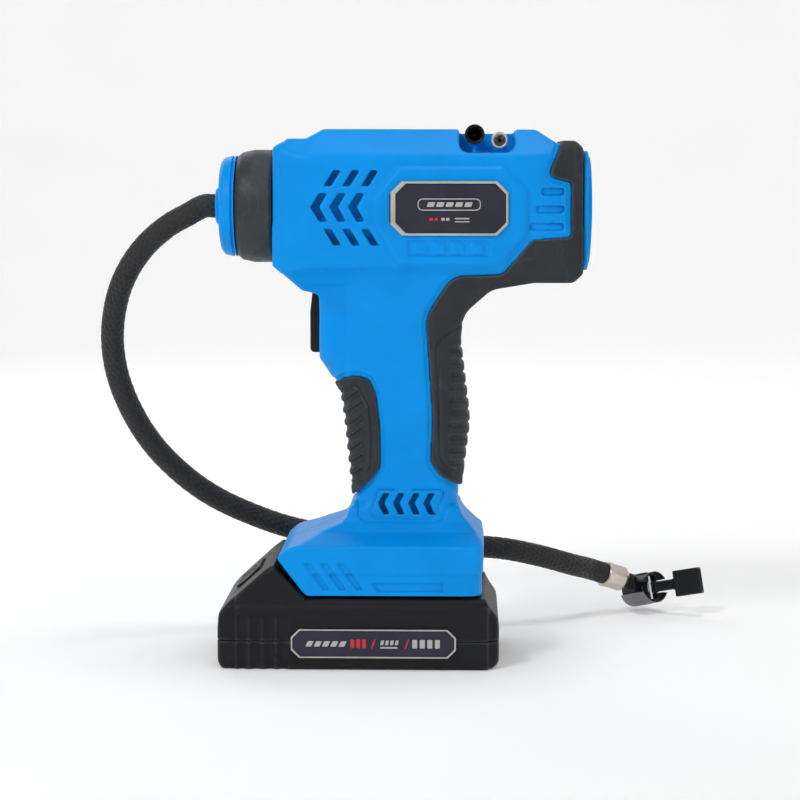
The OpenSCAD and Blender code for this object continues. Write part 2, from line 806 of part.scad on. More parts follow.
case_outline = [
    [case_front, fz - 13, 2], [case_front + 1, fz - 7.2, 2], [-70.5, fz - 2.6, 3], [-56, fz + 10.4, 2],
    [-51.6, fz + 13.6, 1], [-37.9, fz - slide_gap, 0.5], [36, fz - slide_gap, 1], [38.5, fz - 4.8, 2],
    [41.6, fz - 9, 2], [case_rear, fz - 13, 2], [case_rear, 3, 2], [38.5, 0, 2], [-73, 0, 2], [case_front, 3, 2]
];

module case_form(d) {
    w = batt_w / 2 - d;
    intersection() {
        across(rounded(inset(case_outline, d)), 200);
        upright(rounded(rectangle(case_front + d, case_rear - d, -w, w, 8)), -1, fz + 20);
    }
}

module case_cavity() {
    intersection() {
        case_form(batt_wall);
        block([-70, case_rear], [-80, 80], [0, fz - slide_gap - batt_wall]);
    }
}

module button_frame() { translate(button_at) rotate([0, button_tilt, 0]) children(); }

module battery_rail() {
    x0 = -49;
    x1 = pocket_x - slide_gap;
    intersection() {
        union() {
            block([x0, x1], [slide_gap - neck_w, neck_w - slide_gap], [fz - slide_gap - 0.1, fz + rail_z + slide_gap + 0.1]);
            block([x0, x1], [slide_gap - rail_w, rail_w - slide_gap], [fz + rail_z + slide_gap, fz + 10]);
        }
        across([[-44, fz - 1], [-53.5, fz + 12], [60, fz + 12], [60, fz - 1]], 200);
    }
}

battery_screw_places = [[-69.3, -29.5], [-69.3, 29.5], [35, -29.5], [35, 29.5]];

module battery_case_top() {
    color(coal) difference() {
        union() {
            difference() {
                intersection() {
                    case_form(0);
                    block([-90, 60], [-80, 80], [batt_split + joint_gap, fz + 40]);
                }
                case_cavity();
            }
            battery_rail();
            intersection() {
                case_form(0.5);
                button_frame() block([-8.8, 8.8], [-15, 15], [-9.6, 0]);
            }
            for (p = battery_screw_places)
                translate([p[0], p[1], batt_split + joint_gap]) cylinder(r = 3.2, h = 10);
        }
        button_frame() block([-6.8, 6.8], [-13, 13], [-8, 8]);
        for (y = slot_y) block([5, 30], [y - 1.6, y + 1.6], [fz + 3, fz + 11]);
        for (p = battery_screw_places)
            translate([p[0], p[1], 0]) cylinder(r = 1.3, h = batt_split + 6);
    }
}

module battery_case_bottom() {
    color(coal) difference() {
        union() {
            difference() {
                intersection() {
                    case_form(0);
                    block([-90, 60], [-80, 80], [-1, batt_split]);
                }
                case_cavity();
            }
            for (p = battery_screw_places)
                translate([p[0], p[1], 1]) cylinder(r = 3.2, h = batt_split - 1);
        }
        for (p = battery_screw_places) {
            translate([p[0], p[1], -1]) cylinder(r = 1.3, h = batt_split + 2);
            translate([p[0], p[1], -1]) cylinder(r = 2.6, h = 4);
        }
    }
}

module battery_screws() {
    color(steel) for (p = battery_screw_places) {
        translate([p[0], p[1], 3]) cylinder(r = 1.25, h = batt_split + 2);
        translate([p[0], p[1], 1]) cylinder(r = 2.3, h = 2);
    }
}

module battery_cells() {
    color([0.12, 0.45, 0.30]) for (i = [0:cell_count - 1])
        rod_y(-cell_len / 2, cell_len / 2, cell_d / 2, cell_x + i * cell_pitch, cell_z);
}

module cell_holder() {
    x0 = cell_x - cell_pitch / 2;
    color([0.85, 0.86, 0.84]) difference() {
        for (s = [-1, 1])
            block([x0, x0 + cell_count * cell_pitch], s > 0 ? [20, 24] : [-24, -20],
                [batt_wall + 0.1, cell_z + cell_d / 2 - 1]);
        for (i = [0:cell_count - 1]) rod_y(-40, 40, cell_d / 2 + 0.02, cell_x + i * cell_pitch, cell_z);
    }
}

module battery_board() {
    z = cell_z + cell_d / 2 + 1.2;
    color([0.05, 0.30, 0.16]) union() {
        block([-48, 26], [-26, 26], [z, z + 1.4]);
        for (i = [0:3]) block([-40 + i * 14, -33 + i * 14], [-20, -12], [z + 1.3, z + 3]);
    }
}

module battery_contacts() {
    color([0.80, 0.60, 0.34]) for (y = slot_y) {
        block([8, 20], [y - 1.3, y + 1.3], [fz + 3.02, fz + 3.7]);
        for (s = [-1, 1]) block([8, 20], s > 0 ? [y + 0.9, y + 1.3] : [y - 1.3, y - 0.9], [fz + 3.5, fz + 8.5]);
    }
}

batt_label_x = [-44, 24];
batt_label_z = [5.4, 17.5];

module battery_label_frame() {
    y = -batt_w / 2;
    color(champagne) difference() {
        label_octagon(batt_label_x[0], batt_label_x[1], batt_label_z[0], batt_label_z[1], 3.4, y - 1, y);
        label_octagon(batt_label_x[0] + 1.1, batt_label_x[1] - 1.1, batt_label_z[0] + 1.1, batt_label_z[1] - 1.1, 3,
            y - 5, y + 1);
    }
}

module battery_label_plate() {
    y = -batt_w / 2;
    color(navy) label_octagon(batt_label_x[0] + 1.15, batt_label_x[1] - 1.15, batt_label_z[0] + 1.15,
        batt_label_z[1] - 1.15, 3, y - 0.6, y);
}

module release_button() {
    color(coal) button_frame() difference() {
        block([slide_gap - 6.8, 6.8 - slide_gap], [slide_gap - 13, 13 - slide_gap], [-3, 1.2]);
        for (i = [-1:1]) block([i * 3 - 0.6, i * 3 + 0.6], [-9, 9], [0.5, 2]);
    }
}

module button_spring() {
    color(steel) button_frame() for (i = [0:2])
        translate([0, 0, -7.6 + i * 0.75]) rotate_extrude() translate([3, 0]) circle(r = 0.3, $fn = 16);
}

// ---- Hose and chuck ----

// The chuck lies on the ground: turned about Z, then tipped so that its lever rises
chuck_at = [111.5, 97, 10.6];
chuck_turn = 33;
chuck_tip = -15;
chuck_r = 7.5;
neck_at = [-5, 3, 4];
neck_drop = 20;
ferrule_len = 12;
ferrule_x = -16;

function about_x(p, a) = [p[0], p[1] * cos(a) - p[2] * sin(a), p[1] * sin(a) + p[2] * cos(a)];
function about_z(p, a) = [p[0] * cos(a) - p[1] * sin(a), p[0] * sin(a) + p[1] * cos(a), p[2]];
function chuck_point(p) = chuck_at + about_z(about_x(p, chuck_tip), chuck_turn);
function neck_point(x) = chuck_point(neck_at + [x * cos(neck_drop), 0, -x * sin(neck_drop)]);

module chuck_frame() { translate(chuck_at) rotate([0, 0, chuck_turn]) rotate([chuck_tip, 0, 0]) children(); }

module neck_frame() { chuck_frame() translate(neck_at) rotate([0, neck_drop, 0]) children(); }

// Route of the hose's middle, from the gland round behind the foot to the ferrule
hose_path = [
    [gland_x - 0.01, 0, hz], [gland_x - 5, 0, hz], [-89, 1, 186.5], [-98.3, 3, 181.3], [-110, 8, 171],
    [-119.5, 14, 156], [-124.7, 22, 136], [-124, 28, 118], [-118.7, 34, 100.5], [-109.6, 40, 84], [-97, 45, 70],
    [-84, 49, 60], [-67, 53, 51.3], [-49, 56, 44.8], [-20, 59, 39.5], [12, 60, 37], [43, 62, 35.2],
    [61, 69, 30.7], [77, 78, 25], neck_point(ferrule_x - 8), neck_point(ferrule_x - 0.02)
];

module air_hose() { color(coal) swept(hose_path, hose_d / 2); }

module hose_ferrule() {
    color(nickel) neck_frame() translate([ferrule_x, 0, 0]) rotate([0, 90, 0]) difference() {
        cylinder(r = hose_d / 2 + 1.1, h = ferrule_len);
        translate([0, 0, ferrule_len - 4]) cylinder(r = 3.8, h = 5);
    }
}

lever_at = [0, -4, 0];
lever_swing = 35;

module chuck_body() {
    color(coal) difference() {
        union() {
            chuck_frame() rotate([90, 0, 0]) translate([0, 0, -9.5]) cylinder(r = 6.6, h = 17);
            neck_frame() translate([ferrule_x + ferrule_len - 3.95, 0, 0]) rotate([0, 90, 0]) cylinder(r = 3.75, h = 9);
        }
        chuck_frame() {
            rotate([90, 0, 0]) translate([0, 0, -10.5]) cylinder(r = 6, h = 8.5);
            rotate([90, 0, 0]) translate([0, 0, -4]) cylinder(r = 2, h = 4);
            block([-8, 8], [-12, -0.2], [-2.8, 2.8]);
            translate(lever_at) cylinder(r = 1.25, h = 40, center = true);
        }
    }
}

module chuck_shell() {
    color(steel) chuck_frame() difference() {
        rotate([90, 0, 0]) translate([0, 0, -9.6]) cylinder(r = chuck_r, h = 17.6);
        rotate([90, 0, 0]) translate([0, 0, -12]) cylinder(r = 6.65, h = 30);
        block([-12, -1], [-20, 20], [-1.5, 12]);
        block([0, 12], [-12, -0.2], [-3, 3]);
        block([-1, 1.6], [-12, -2], [-12, 12]);
    }
}

module chuck_seal() {
    color(charcoal) chuck_frame() rotate([90, 0, 0]) translate([0, 0, -9.3]) difference() {
        cylinder(r = 5.98, h = 7.2);
        translate([0, 0, -1]) cylinder(r = valve_d / 2, h = 10);
    }
}

module chuck_lever() {
    color(coal) chuck_frame() translate(lever_at) rotate([0, 0, lever_swing]) difference() {
        union() {
            translate([0, 0, -2.4]) cylinder(r = 3.4, h = 4.8);
            block([-1.6, 1.6], [-14, 0], [-2.4, 2.4]);
            block([-2.6, 2.6], [-25, -12.5], [-6, 6]);
        }
        cylinder(r = 1.25 + running_fit, h = 20, center = true);
    }
}

module chuck_pin() { color(steel) chuck_frame() translate(lever_at) cylinder(r = 1.25, h = 10.4, center = true); }

housing_near();
housing_far();
rear_grip_cover();
front_grip_cover();
front_collar();
front_cap();
hose_gland();
rear_cap();
label_frame();
label_plate();
case_screws();
trigger();
trigger_spring();
trigger_switch();
control_board();
terminal_block();
motor_can();
motor_magnets();
motor_rotor();
motor_end_bell();
cooling_fan();
pinion();
crank_gear();
gear_axle();
compressor_frame();
cylinder_sleeve();
piston_rod();
piston_ring();
cylinder_head();
outlet_tube();
plastic_nozzle();
needle_adapter();
battery_case_top();
battery_case_bottom();
battery_cells();
cell_holder();
battery_board();
battery_contacts();
battery_label_frame();
battery_label_plate();
release_button();
button_spring();
battery_screws();
air_hose();
hose_ferrule();
chuck_body();
chuck_shell();
chuck_seal();
chuck_lever();
chuck_pin();
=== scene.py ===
"""Cordless pistol-grip air pump with a braided hose, a lever chuck and a slide-on battery pack."""
import json
import math

import bmesh
import bpy
import numpy as np
from bpy.props import FloatProperty, FloatVectorProperty, IntProperty, PointerProperty
from mathutils import Matrix, Vector


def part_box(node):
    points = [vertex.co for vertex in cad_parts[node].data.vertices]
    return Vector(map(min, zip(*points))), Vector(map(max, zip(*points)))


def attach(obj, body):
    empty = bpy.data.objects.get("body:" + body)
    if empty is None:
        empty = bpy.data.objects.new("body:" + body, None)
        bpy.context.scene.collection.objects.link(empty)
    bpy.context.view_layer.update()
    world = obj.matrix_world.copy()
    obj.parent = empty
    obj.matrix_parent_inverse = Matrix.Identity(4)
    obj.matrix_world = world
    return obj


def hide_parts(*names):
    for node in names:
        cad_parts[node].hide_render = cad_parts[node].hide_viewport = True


bl_info = {
    "name": "Cordless air pump",
    "version": (1, 0, 0),
    "blender": (4, 5, 0),
    "location": "3D View > Sidebar > Air Pump",
    "description": "Builds a pistol-grip air pump with its hose, chuck and battery pack",
    "category": "Add Mesh",
}

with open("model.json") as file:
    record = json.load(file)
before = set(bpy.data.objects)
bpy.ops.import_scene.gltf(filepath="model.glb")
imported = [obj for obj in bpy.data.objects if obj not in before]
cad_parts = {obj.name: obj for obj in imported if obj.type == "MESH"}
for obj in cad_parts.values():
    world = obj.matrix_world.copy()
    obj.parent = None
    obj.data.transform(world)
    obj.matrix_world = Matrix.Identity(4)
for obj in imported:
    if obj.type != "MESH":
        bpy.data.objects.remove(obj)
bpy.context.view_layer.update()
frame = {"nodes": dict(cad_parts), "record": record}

MM = 0.001


def node_box(node):
    """Lowest and highest corner of a node, in millimetres."""
    low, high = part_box(node)
    return np.array(low) / MM, np.array(high) / MM


# Places that everything else is laid out from, in millimetres
CAN_LOW, CAN_HIGH = node_box("motor_can")
SHELL_LOW = node_box("housing_near")[0]
COLLAR_LOW, COLLAR_HIGH = node_box("front_collar")
CAP_LOW, CAP_HIGH = node_box("front_cap")
GLAND_LOW = node_box("hose_gland")[0]
REAR_LOW, REAR_HIGH = node_box("rear_cap")
TRIGGER_LOW, TRIGGER_HIGH = node_box("trigger")
BASE_LOW, BASE_HIGH = node_box("battery_case_bottom")
AXIS_Z = round((CAN_LOW[2] + CAN_HIGH[2]) / 2, 3)  # centre line of the barrel
FOOT_Z = round(SHELL_LOW[2], 3)                  # underside of the housing's foot
RING_X = round(COLLAR_HIGH[0] + 0.3, 3)          # front ring of the barrel
REAR_X = round(REAR_LOW[0] - 0.1, 3)             # rear end of the barrel
HALF_BARREL = 31.0
HALF_FOOT = round(-SHELL_LOW[1], 3)
BOSS_Y = HALF_BARREL + 1.5                       # face of the boss round the label
WALL = 2.5                                       # thickness of the housing
SKIN = 0.8                                       # wall left outside what stands inside the housing
COVER_DEPTH = 1.6                                # how deep the soft covers sit in the housing
SCREW_POST, SCREW_HEAD, SCREW_SHANK = 3.5, 3.1, 1.5
REAR_BORE = 20                                   # opening behind the rear cap
PACK_WALL = 2.2
PACK_SPLIT = 12.0                                # where the battery's two cases meet
PACK_SCREWS = [(-69.3, -29.5), (-69.3, 29.5), (35, -29.5), (35, 29.5)]
BUTTON_X, BUTTON_Z, BUTTON_TILT = -63.25, FOOT_Z + 3.9, 41.9
COVER_STEP, FRONT_COVER_STEP, PACK_STEP, CAP_STEP, CHUCK_STEP = 0.6, 0.45, 0.7, 0.45, 0.28


# ---- Settings ----

class PumpSizes(bpy.types.PropertyGroup):
    fineness: FloatProperty(
        name="Fineness", description="Spacing of the points that the housing is worked out on",
        default=0.62 * MM, min=0.4 * MM, unit="LENGTH")
    small_fineness: FloatProperty(
        name="Small fineness", description="Spacing of the points for small moulded pieces",
        default=0.35 * MM, min=0.15 * MM, unit="LENGTH")
    cover_stand: FloatProperty(
        name="Cover stand-off", description="How far the soft covers stand proud of the housing",
        default=0.4 * MM, min=0.1 * MM, unit="LENGTH")
    rib_pitch: FloatProperty(
        name="Rib pitch", description="Distance between the ribs on the rear of the grip",
        default=5.3 * MM, min=3 * MM, unit="LENGTH")
    rib_count: IntProperty(
        name="Ribs", description="Number of grooves across the rear of the grip", default=10, min=1)
    groove_depth: FloatProperty(
        name="Groove depth", description="Depth of the shallow grooves in the mouldings",
        default=0.5 * MM, min=0.1 * MM, unit="LENGTH")
    hose_length: FloatProperty(
        name="Hose length", description="Length of the hose from its gland to its ferrule",
        default=0.367, min=0.1, unit="LENGTH")
    hose_diameter: FloatProperty(
        name="Hose diameter", description="Outside diameter of the braided hose",
        default=10 * MM, min=4 * MM, unit="LENGTH")
    braid_strands: IntProperty(
        name="Braid strands", description="Strands of the braid that run each way round the hose",
        default=12, min=4)


class PumpColours(bpy.types.PropertyGroup):
    azure: FloatVectorProperty(
        name="Azure", description="Moulded housing", subtype="COLOR", size=4,
        default=(0.0, 0.30, 0.84, 1), min=0, max=1)
    rubber: FloatVectorProperty(
        name="Charcoal rubber", description="Soft covers and front collar", subtype="COLOR", size=4,
        default=(0.022, 0.025, 0.029, 1), min=0, max=1)
    coal: FloatVectorProperty(
        name="Coal plastic", description="Battery cases, trigger and chuck", subtype="COLOR", size=4,
        default=(0.0058, 0.006, 0.0078, 1), min=0, max=1)
    champagne: FloatVectorProperty(
        name="Champagne", description="Frames of the two labels", subtype="COLOR", size=4,
        default=(0.60, 0.565, 0.50, 1), min=0, max=1)
    film: FloatVectorProperty(
        name="Label film", description="Dark film of the labels", subtype="COLOR", size=4,
        default=(0.034, 0.033, 0.062, 1), min=0, max=1)
    accent: FloatVectorProperty(
        name="Accent", description="Red marks on the labels", subtype="COLOR", size=4,
        default=(0.62, 0.015, 0.03, 1), min=0, max=1)
    braid: FloatVectorProperty(
        name="Braid", description="Yarn of the hose braid", subtype="COLOR", size=4,
        default=(0.0075, 0.0075, 0.0085, 1), min=0, max=1)


class PumpStage(bpy.types.PropertyGroup):
    distance: FloatProperty(
        name="Distance", description="Camera to the middle of the grip",
        default=1.0, min=0.3, unit="LENGTH")
    height: FloatProperty(
        name="Height", description="Camera above the ground", default=0.2092, unit="LENGTH")
    side_angle: FloatProperty(
        name="Side angle", description="How far the camera stands towards the rear of the pump",
        default=math.radians(1.5), subtype="ANGLE")
    pitch: FloatProperty(
        name="Pitch", description="How far the camera looks down",
        default=math.radians(5.758), subtype="ANGLE")
    lens: FloatProperty(name="Lens", description="Focal length", default=107.1, min=20, unit="CAMERA")


def sizes():
    return bpy.context.scene.pump_sizes


def colours():
    return bpy.context.scene.pump_colours


# ---- Outlines ----

def outline(corners, steps=5):
    """Replaces each corner (a, b, radius) by a smooth curve of its radius."""
    points = []
    count = len(corners)
    for i, (a, b, radius) in enumerate(corners):
        here = Vector((a, b))
        before = Vector(corners[i - 1][:2]) - here
        after = Vector(corners[(i + 1) % count][:2]) - here
        half = before.angle(after) / 2
        reach = min(radius / max(math.tan(half), 1e-6), 0.45 * min(before.length, after.length))
        before.normalize()
        after.normalize()
        for j in range(steps + 1):
            s = j / steps
            points.append(here + before * reach * (1 - s) ** 2 + after * reach * s ** 2)
    return [tuple(p) for p in points]


def mirrored(half, flip=(-1, 1)):
    """Outline from one half of its corners and their mirror image."""
    return outline(half + [(a * flip[0], b * flip[1], radius) for a, b, radius in reversed(half)])


def rectangle(a0, a1, b0, b1, radius):
    return outline([(a0, b0, radius), (a0, b1, radius), (a1, b1, radius), (a1, b0, radius)])


def octagon(a0, a1, b0, b1, cut):
    corners = [(a0, b0 + cut), (a0, b1 - cut), (a0 + cut, b1), (a1 - cut, b1),
               (a1, b1 - cut), (a1, b0 + cut), (a1 - cut, b0), (a0 + cut, b0)]
    return outline([(a, b, 0.8) for a, b in corners])


def slant(x, z, width, height, lean=0.35):
    """Leaning bar with its lower left corner at (x, z)."""
    return [(x, z), (x + lean * height, z + height), (x + width + lean * height, z + height), (x + width, z)]


def grip_z(share):
    """Height of a point of the grip: 0 at the foot, 1 under the trigger."""
    return FOOT_Z + 30 + share * (AXIS_Z - 64 - FOOT_Z - 30)


SIDE = outline([
    (RING_X, AXIS_Z + 24, 0.4), (RING_X + 6.5, AXIS_Z + 28, 2), (RING_X + 14, AXIS_Z + 28, 3),
    (RING_X + 21, AXIS_Z + 32, 3), (REAR_X - 19.5, AXIS_Z + 31.7, 4), (REAR_X - 12, AXIS_Z + 26.7, 2),
    (REAR_X - 3.5, AXIS_Z + 26.7, 2.5), (REAR_X, AXIS_Z + 23.5, 1.5), (REAR_X, AXIS_Z - 26.5, 1.5),
    (REAR_X - 4, AXIS_Z - 30.5, 3), (REAR_X - 20, AXIS_Z - 30.5, 12), (38, AXIS_Z - 33.5, 10),
    (26.4, AXIS_Z - 44, 12), (25.2, AXIS_Z - 55, 15), (29.4, grip_z(0.62), 40), (24.7, grip_z(0.06), 10),
    (35.5, FOOT_Z + 22, 3), (35.5, FOOT_Z, 0.5), (-37.5, FOOT_Z, 7), (-50, FOOT_Z + 16.5, 1.5),
    (-45, FOOT_Z + 20.5, 3), (-31, FOOT_Z + 26.5, 8), (-22.5, FOOT_Z + 29.5, 5), (-19.5, grip_z(0.12), 6),
    (-22.7, grip_z(0.6), 30), (-24.5, grip_z(0.8), 12), (-33.5, AXIS_Z - 63, 2.5), (-33, AXIS_Z - 36, 2),
    (-40, AXIS_Z - 34.3, 3), (RING_X + 6.4, AXIS_Z - 29, 2), (RING_X, AXIS_Z - 24, 0.4)])

REAR_COVER = outline([
    (REAR_X + 9, AXIS_Z + 40, 1), (REAR_X + 9, AXIS_Z - 60, 1), (44, AXIS_Z - 60, 1),
    (44, grip_z(0.12), 1), (26, grip_z(0.2), 1), (17.2, grip_z(0.278), 4), (13.2, grip_z(0.36), 5),
    (13.9, grip_z(0.65), 30), (11.2, AXIS_Z - 45, 14), (22, AXIS_Z - 28, 10), (42.5, AXIS_Z - 27.4, 6),
    (REAR_X - 21, AXIS_Z - 13, 3), (REAR_X - 5.1, AXIS_Z - 12, 2), (REAR_X - 5.1, AXIS_Z + 10, 2),
    (REAR_X - 14.7, AXIS_Z + 12.5, 3), (REAR_X - 9.4, AXIS_Z + 26, 0.1), (REAR_X - 9.4, AXIS_Z + 40, 0.1)])

FRONT_COVER = outline([
    (-34, grip_z(0.862), 0.1), (-25.6, grip_z(0.862), 1), (-22.6, grip_z(0.897), 3),
    (-17.4, grip_z(0.913), 4), (-12.2, grip_z(0.89), 4), (-9.6, grip_z(0.80), 5),
    (-8.2, grip_z(0.64), 12), (-7.6, grip_z(0.48), 12),
    (-7.6, grip_z(0.34), 5), (-11.6, grip_z(0.25), 4), (-19.4, grip_z(0.14), 1), (-34, grip_z(0.14), 0.1)])

REAR_PAD = outline([
    (50, 152, 1), (36, 150, 1), (24.7, 141, 2), (15, 133.2, 5), (16.4, 108, 20), (16.6, 85, 8),
    (28, 75.6, 2), (50, 66, 1)])

FRONT_PAD = outline([
    (-40, 104, 1), (-26, 112.5, 2), (-17.2, 117.8, 5), (-12.2, 107, 8), (-11.3, 95, 20), (-11.5, 82, 5),
    (-22, 72, 1), (-40, 72, 1)])

NECK_PANEL = outline([(-12.6, 60.6, 3), (-8.6, 72.4, 2.4), (19.4, 72.4, 2.4), (15, 60.6, 3)])

NECK_FLANK = outline([(-40, 40, 1), (-40, 67.6, 1), (-17.2, 67.6, 2.5), (-16.8, 59.6, 3), (18.2, 59.6, 3),
                      (20.6, 66.3, 3), (50, 66.5, 1), (50, 40, 1)])

LABEL_BOSS = outline([
    (-11.2, 184, 2), (-11.2, 193.5, 2), (-0.6, 206.6, 3), (42.4, 206.6, 3), (53, 196.6, 3), (53, 179, 3),
    (41.8, 166, 3), (0, 166, 3)])

# (x, z, y of the far end) of each screw that holds the halves together
SCREWS = [(12, AXIS_Z + 27, 19), (-43, AXIS_Z - 18, 19), (REAR_X - 11, AXIS_Z - 25, 17),
          (2, AXIS_Z - 68.5, 12), (2, grip_z(0.2), 12), (-30, FOOT_Z + 21.6, 20), (27, FOOT_Z + 21.6, 20)]


# ---- Solids worked out as distances ----

def polygon_distance(points, a, b):
    """Distance of each point (a, b) to a closed outline, negative inside."""
    nearest = np.full(np.broadcast(a, b).shape, 1e9, np.float32)
    inside = np.zeros(nearest.shape, bool)
    for (a0, b0), (a1, b1) in zip(points, points[1:] + points[:1]):
        ea, eb = a1 - a0, b1 - b0
        length = ea * ea + eb * eb
        if length < 1e-12:
            continue
        along = np.clip(((a - a0) * ea + (b - b0) * eb) / length, 0, 1)
        np.minimum(nearest, (a - a0 - ea * along) ** 2 + (b - b0 - eb * along) ** 2, out=nearest)
        if b0 != b1:
            inside ^= ((b0 > b) != (b1 > b)) & (a < ea * (b - b0) / eb + a0)
    return np.where(inside, -1, 1).astype(np.float32) * np.sqrt(nearest)


def both(p, q, radius=0.0):
    """What p and q share, with a rounded edge."""
    if np.ndim(radius) == 0 and radius == 0:
        return np.maximum(p, q)
    rounding = np.hypot(np.maximum(p + radius, 0), np.maximum(q + radius, 0))
    return np.minimum(np.maximum(p, q), -radius) + rounding


def either(p, q, radius=0.0):
    """p and q together, with a filleted inner edge."""
    return -both(-p, -q, radius)


def without(p, q, radius=0.0):
    return both(p, -q, radius)


def ramp(value, start, end):
    """Smooth step from 0 at start to 1 at end."""
    t = np.clip((value - start) / (end - start), 0, 1)
    return t * t * (3 - 2 * t)

def lowest(fields):
    """All the fields' solids together, without a fillet."""
    return np.minimum.reduce(list(fields))


class Region:
    """A box of evenly spaced points, in millimetres, on which a solid is worked out."""

    def __init__(self, low, high, step):
        self.step = step
        self.low = np.array(low, float) - 2.5 * step
        counts = np.ceil((np.array(high, float) - self.low) / step).astype(int) + 3
        axes = [(self.low[i] + step * np.arange(counts[i])).astype(np.float32) for i in range(3)]
        self.x, self.y, self.z = axes[0][:, None, None], axes[1][None, :, None], axes[2][None, None, :]

    def side(self, points):
        return polygon_distance(points, self.x, self.z)

    def plan(self, points):
        return polygon_distance(points, self.x, self.y)

    def end(self, points):
        return polygon_distance(points, self.y, self.z)

    def slab(self, axis, low, high):
        value = getattr(self, axis)
        return np.abs(value - (low + high) / 2) - (high - low) / 2

    def block(self, x, y, z, radius=0.0):
        return both(both(self.slab("x", *x), self.slab("y", *y), radius), self.slab("z", *z), radius)

    def rod(self, axis, radius, p, q):
        """Endless round bar along an axis through (p, q) in the other two."""
        others = [getattr(self, name) for name in "xyz" if name != axis]
        return np.hypot(others[0] - p, others[1] - q) - radius

    def bars(self, starts, ends, radius):
        """Round-ended bars in the side view, endless across."""
        found = []
        for (x0, z0), (x1, z1) in zip(starts, ends):
            ex, ez = x1 - x0, z1 - z0
            along = np.clip(((self.x - x0) * ex + (self.z - z0) * ez) / (ex * ex + ez * ez), 0, 1)
            found.append(np.hypot(self.x - x0 - ex * along, self.z - z0 - ez * along) - radius)
        return lowest(found)


def skin(field, low, step):
    """Corners and four-sided faces of the surface where the field changes sign."""
    inside = field < 0
    shape = np.array(field.shape) - 1
    corners = [(i, j, k) for i in (0, 1) for j in (0, 1) for k in (0, 1)]
    count = np.zeros(shape, np.int8)
    for i, j, k in corners:
        count += inside[i:i + shape[0], j:j + shape[1], k:k + shape[2]]
    mixed = (count > 0) & (count < 8)
    cells = np.argwhere(mixed)
    number = np.full(shape, -1, np.int32)
    number[mixed] = np.arange(len(cells))
    value = {c: field[cells[:, 0] + c[0], cells[:, 1] + c[1], cells[:, 2] + c[2]] for c in corners}
    total = np.zeros((len(cells), 3))
    hits = np.zeros(len(cells))
    for c in corners:
        for axis in range(3):
            if c[axis]:
                continue
            d = tuple(1 if n == axis else c[n] for n in range(3))
            crossed = (value[c] < 0) != (value[d] < 0)
            span = np.where(crossed, value[c] - value[d], 1)
            share = np.where(crossed, value[c] / span, 0)
            point = np.tile(np.array(c, float), (len(cells), 1))
            point[:, axis] += share
            total += point * crossed[:, None]
            hits += crossed
    places = low + step * (cells + total / hits[:, None])
    faces = []
    for axis in range(3):
        one, two = (axis + 1) % 3, (axis + 2) % 3
        size = np.array(field.shape)
        size[axis] -= 1
        first = inside[tuple(slice(0, n) for n in size)]
        shift = [slice(0, n) for n in size]
        shift[axis] = slice(1, size[axis] + 1)
        second = inside[tuple(shift)]
        found = np.argwhere(first != second)
        keep = (found[:, one] > 0) & (found[:, two] > 0)
        keep &= (found[:, one] < shape[one]) & (found[:, two] < shape[two])
        found = found[keep]
        quad = []
        for a, b in ((1, 1), (0, 1), (0, 0), (1, 0)):
            at = found.copy()
            at[:, one] -= a
            at[:, two] -= b
            quad.append(number[at[:, 0], at[:, 1], at[:, 2]])
        quad = np.stack(quad, 1)
        flip = ~first[found[:, 0], found[:, 1], found[:, 2]]
        quad[flip] = quad[flip][:, ::-1]
        faces.append(quad)
    return places, np.concatenate(faces)


def crisp_normals(mesh, angle):
    mesh.shade_smooth()
    mesh.set_sharp_from_angle(angle=math.radians(angle))


def mesh_piece(name, places, faces, body, slot, replaces=(), angle=45, place=None, finish=None):
    """A piece of the pump from corners in millimetres and faces; its finish is its slot's or a named one."""
    mesh = bpy.data.meshes.new(name)
    places = np.asarray(places, float)
    if place is not None:
        turn = np.array(place)
        places = places @ turn[:3, :3].T + turn[:3, 3]
    if isinstance(faces, np.ndarray):
        mesh.vertices.add(len(places))
        mesh.vertices.foreach_set("co", (places * MM).astype(np.float32).ravel())
        mesh.loops.add(faces.size)
        mesh.loops.foreach_set("vertex_index", faces.astype(np.int32).ravel())
        mesh.polygons.add(len(faces))
        mesh.polygons.foreach_set("loop_start", np.arange(0, faces.size, faces.shape[1], dtype=np.int32))
        mesh.update(calc_edges=True)
        mesh.validate()
    else:
        mesh.from_pydata([tuple(p) for p in places * MM], [], faces)
    crisp_normals(mesh, angle)
    mesh.materials.append(MATERIALS[finish or slot])
    piece = bpy.data.objects.new(name, mesh)
    bpy.context.scene.collection.objects.link(piece)
    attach(piece, body)
    if replaces:
        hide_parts(*replaces)
    return piece


def solid(name, region, field, body, slot, replaces=(), angle=50, **more):
    """A piece of the pump from a field of distances."""
    full = (region.x.size, region.y.size, region.z.size)
    field = np.ascontiguousarray(np.broadcast_to(field, full), dtype=np.float32)
    return mesh_piece(name, *skin(field, region.low, region.step), body, slot, replaces, angle, **more)


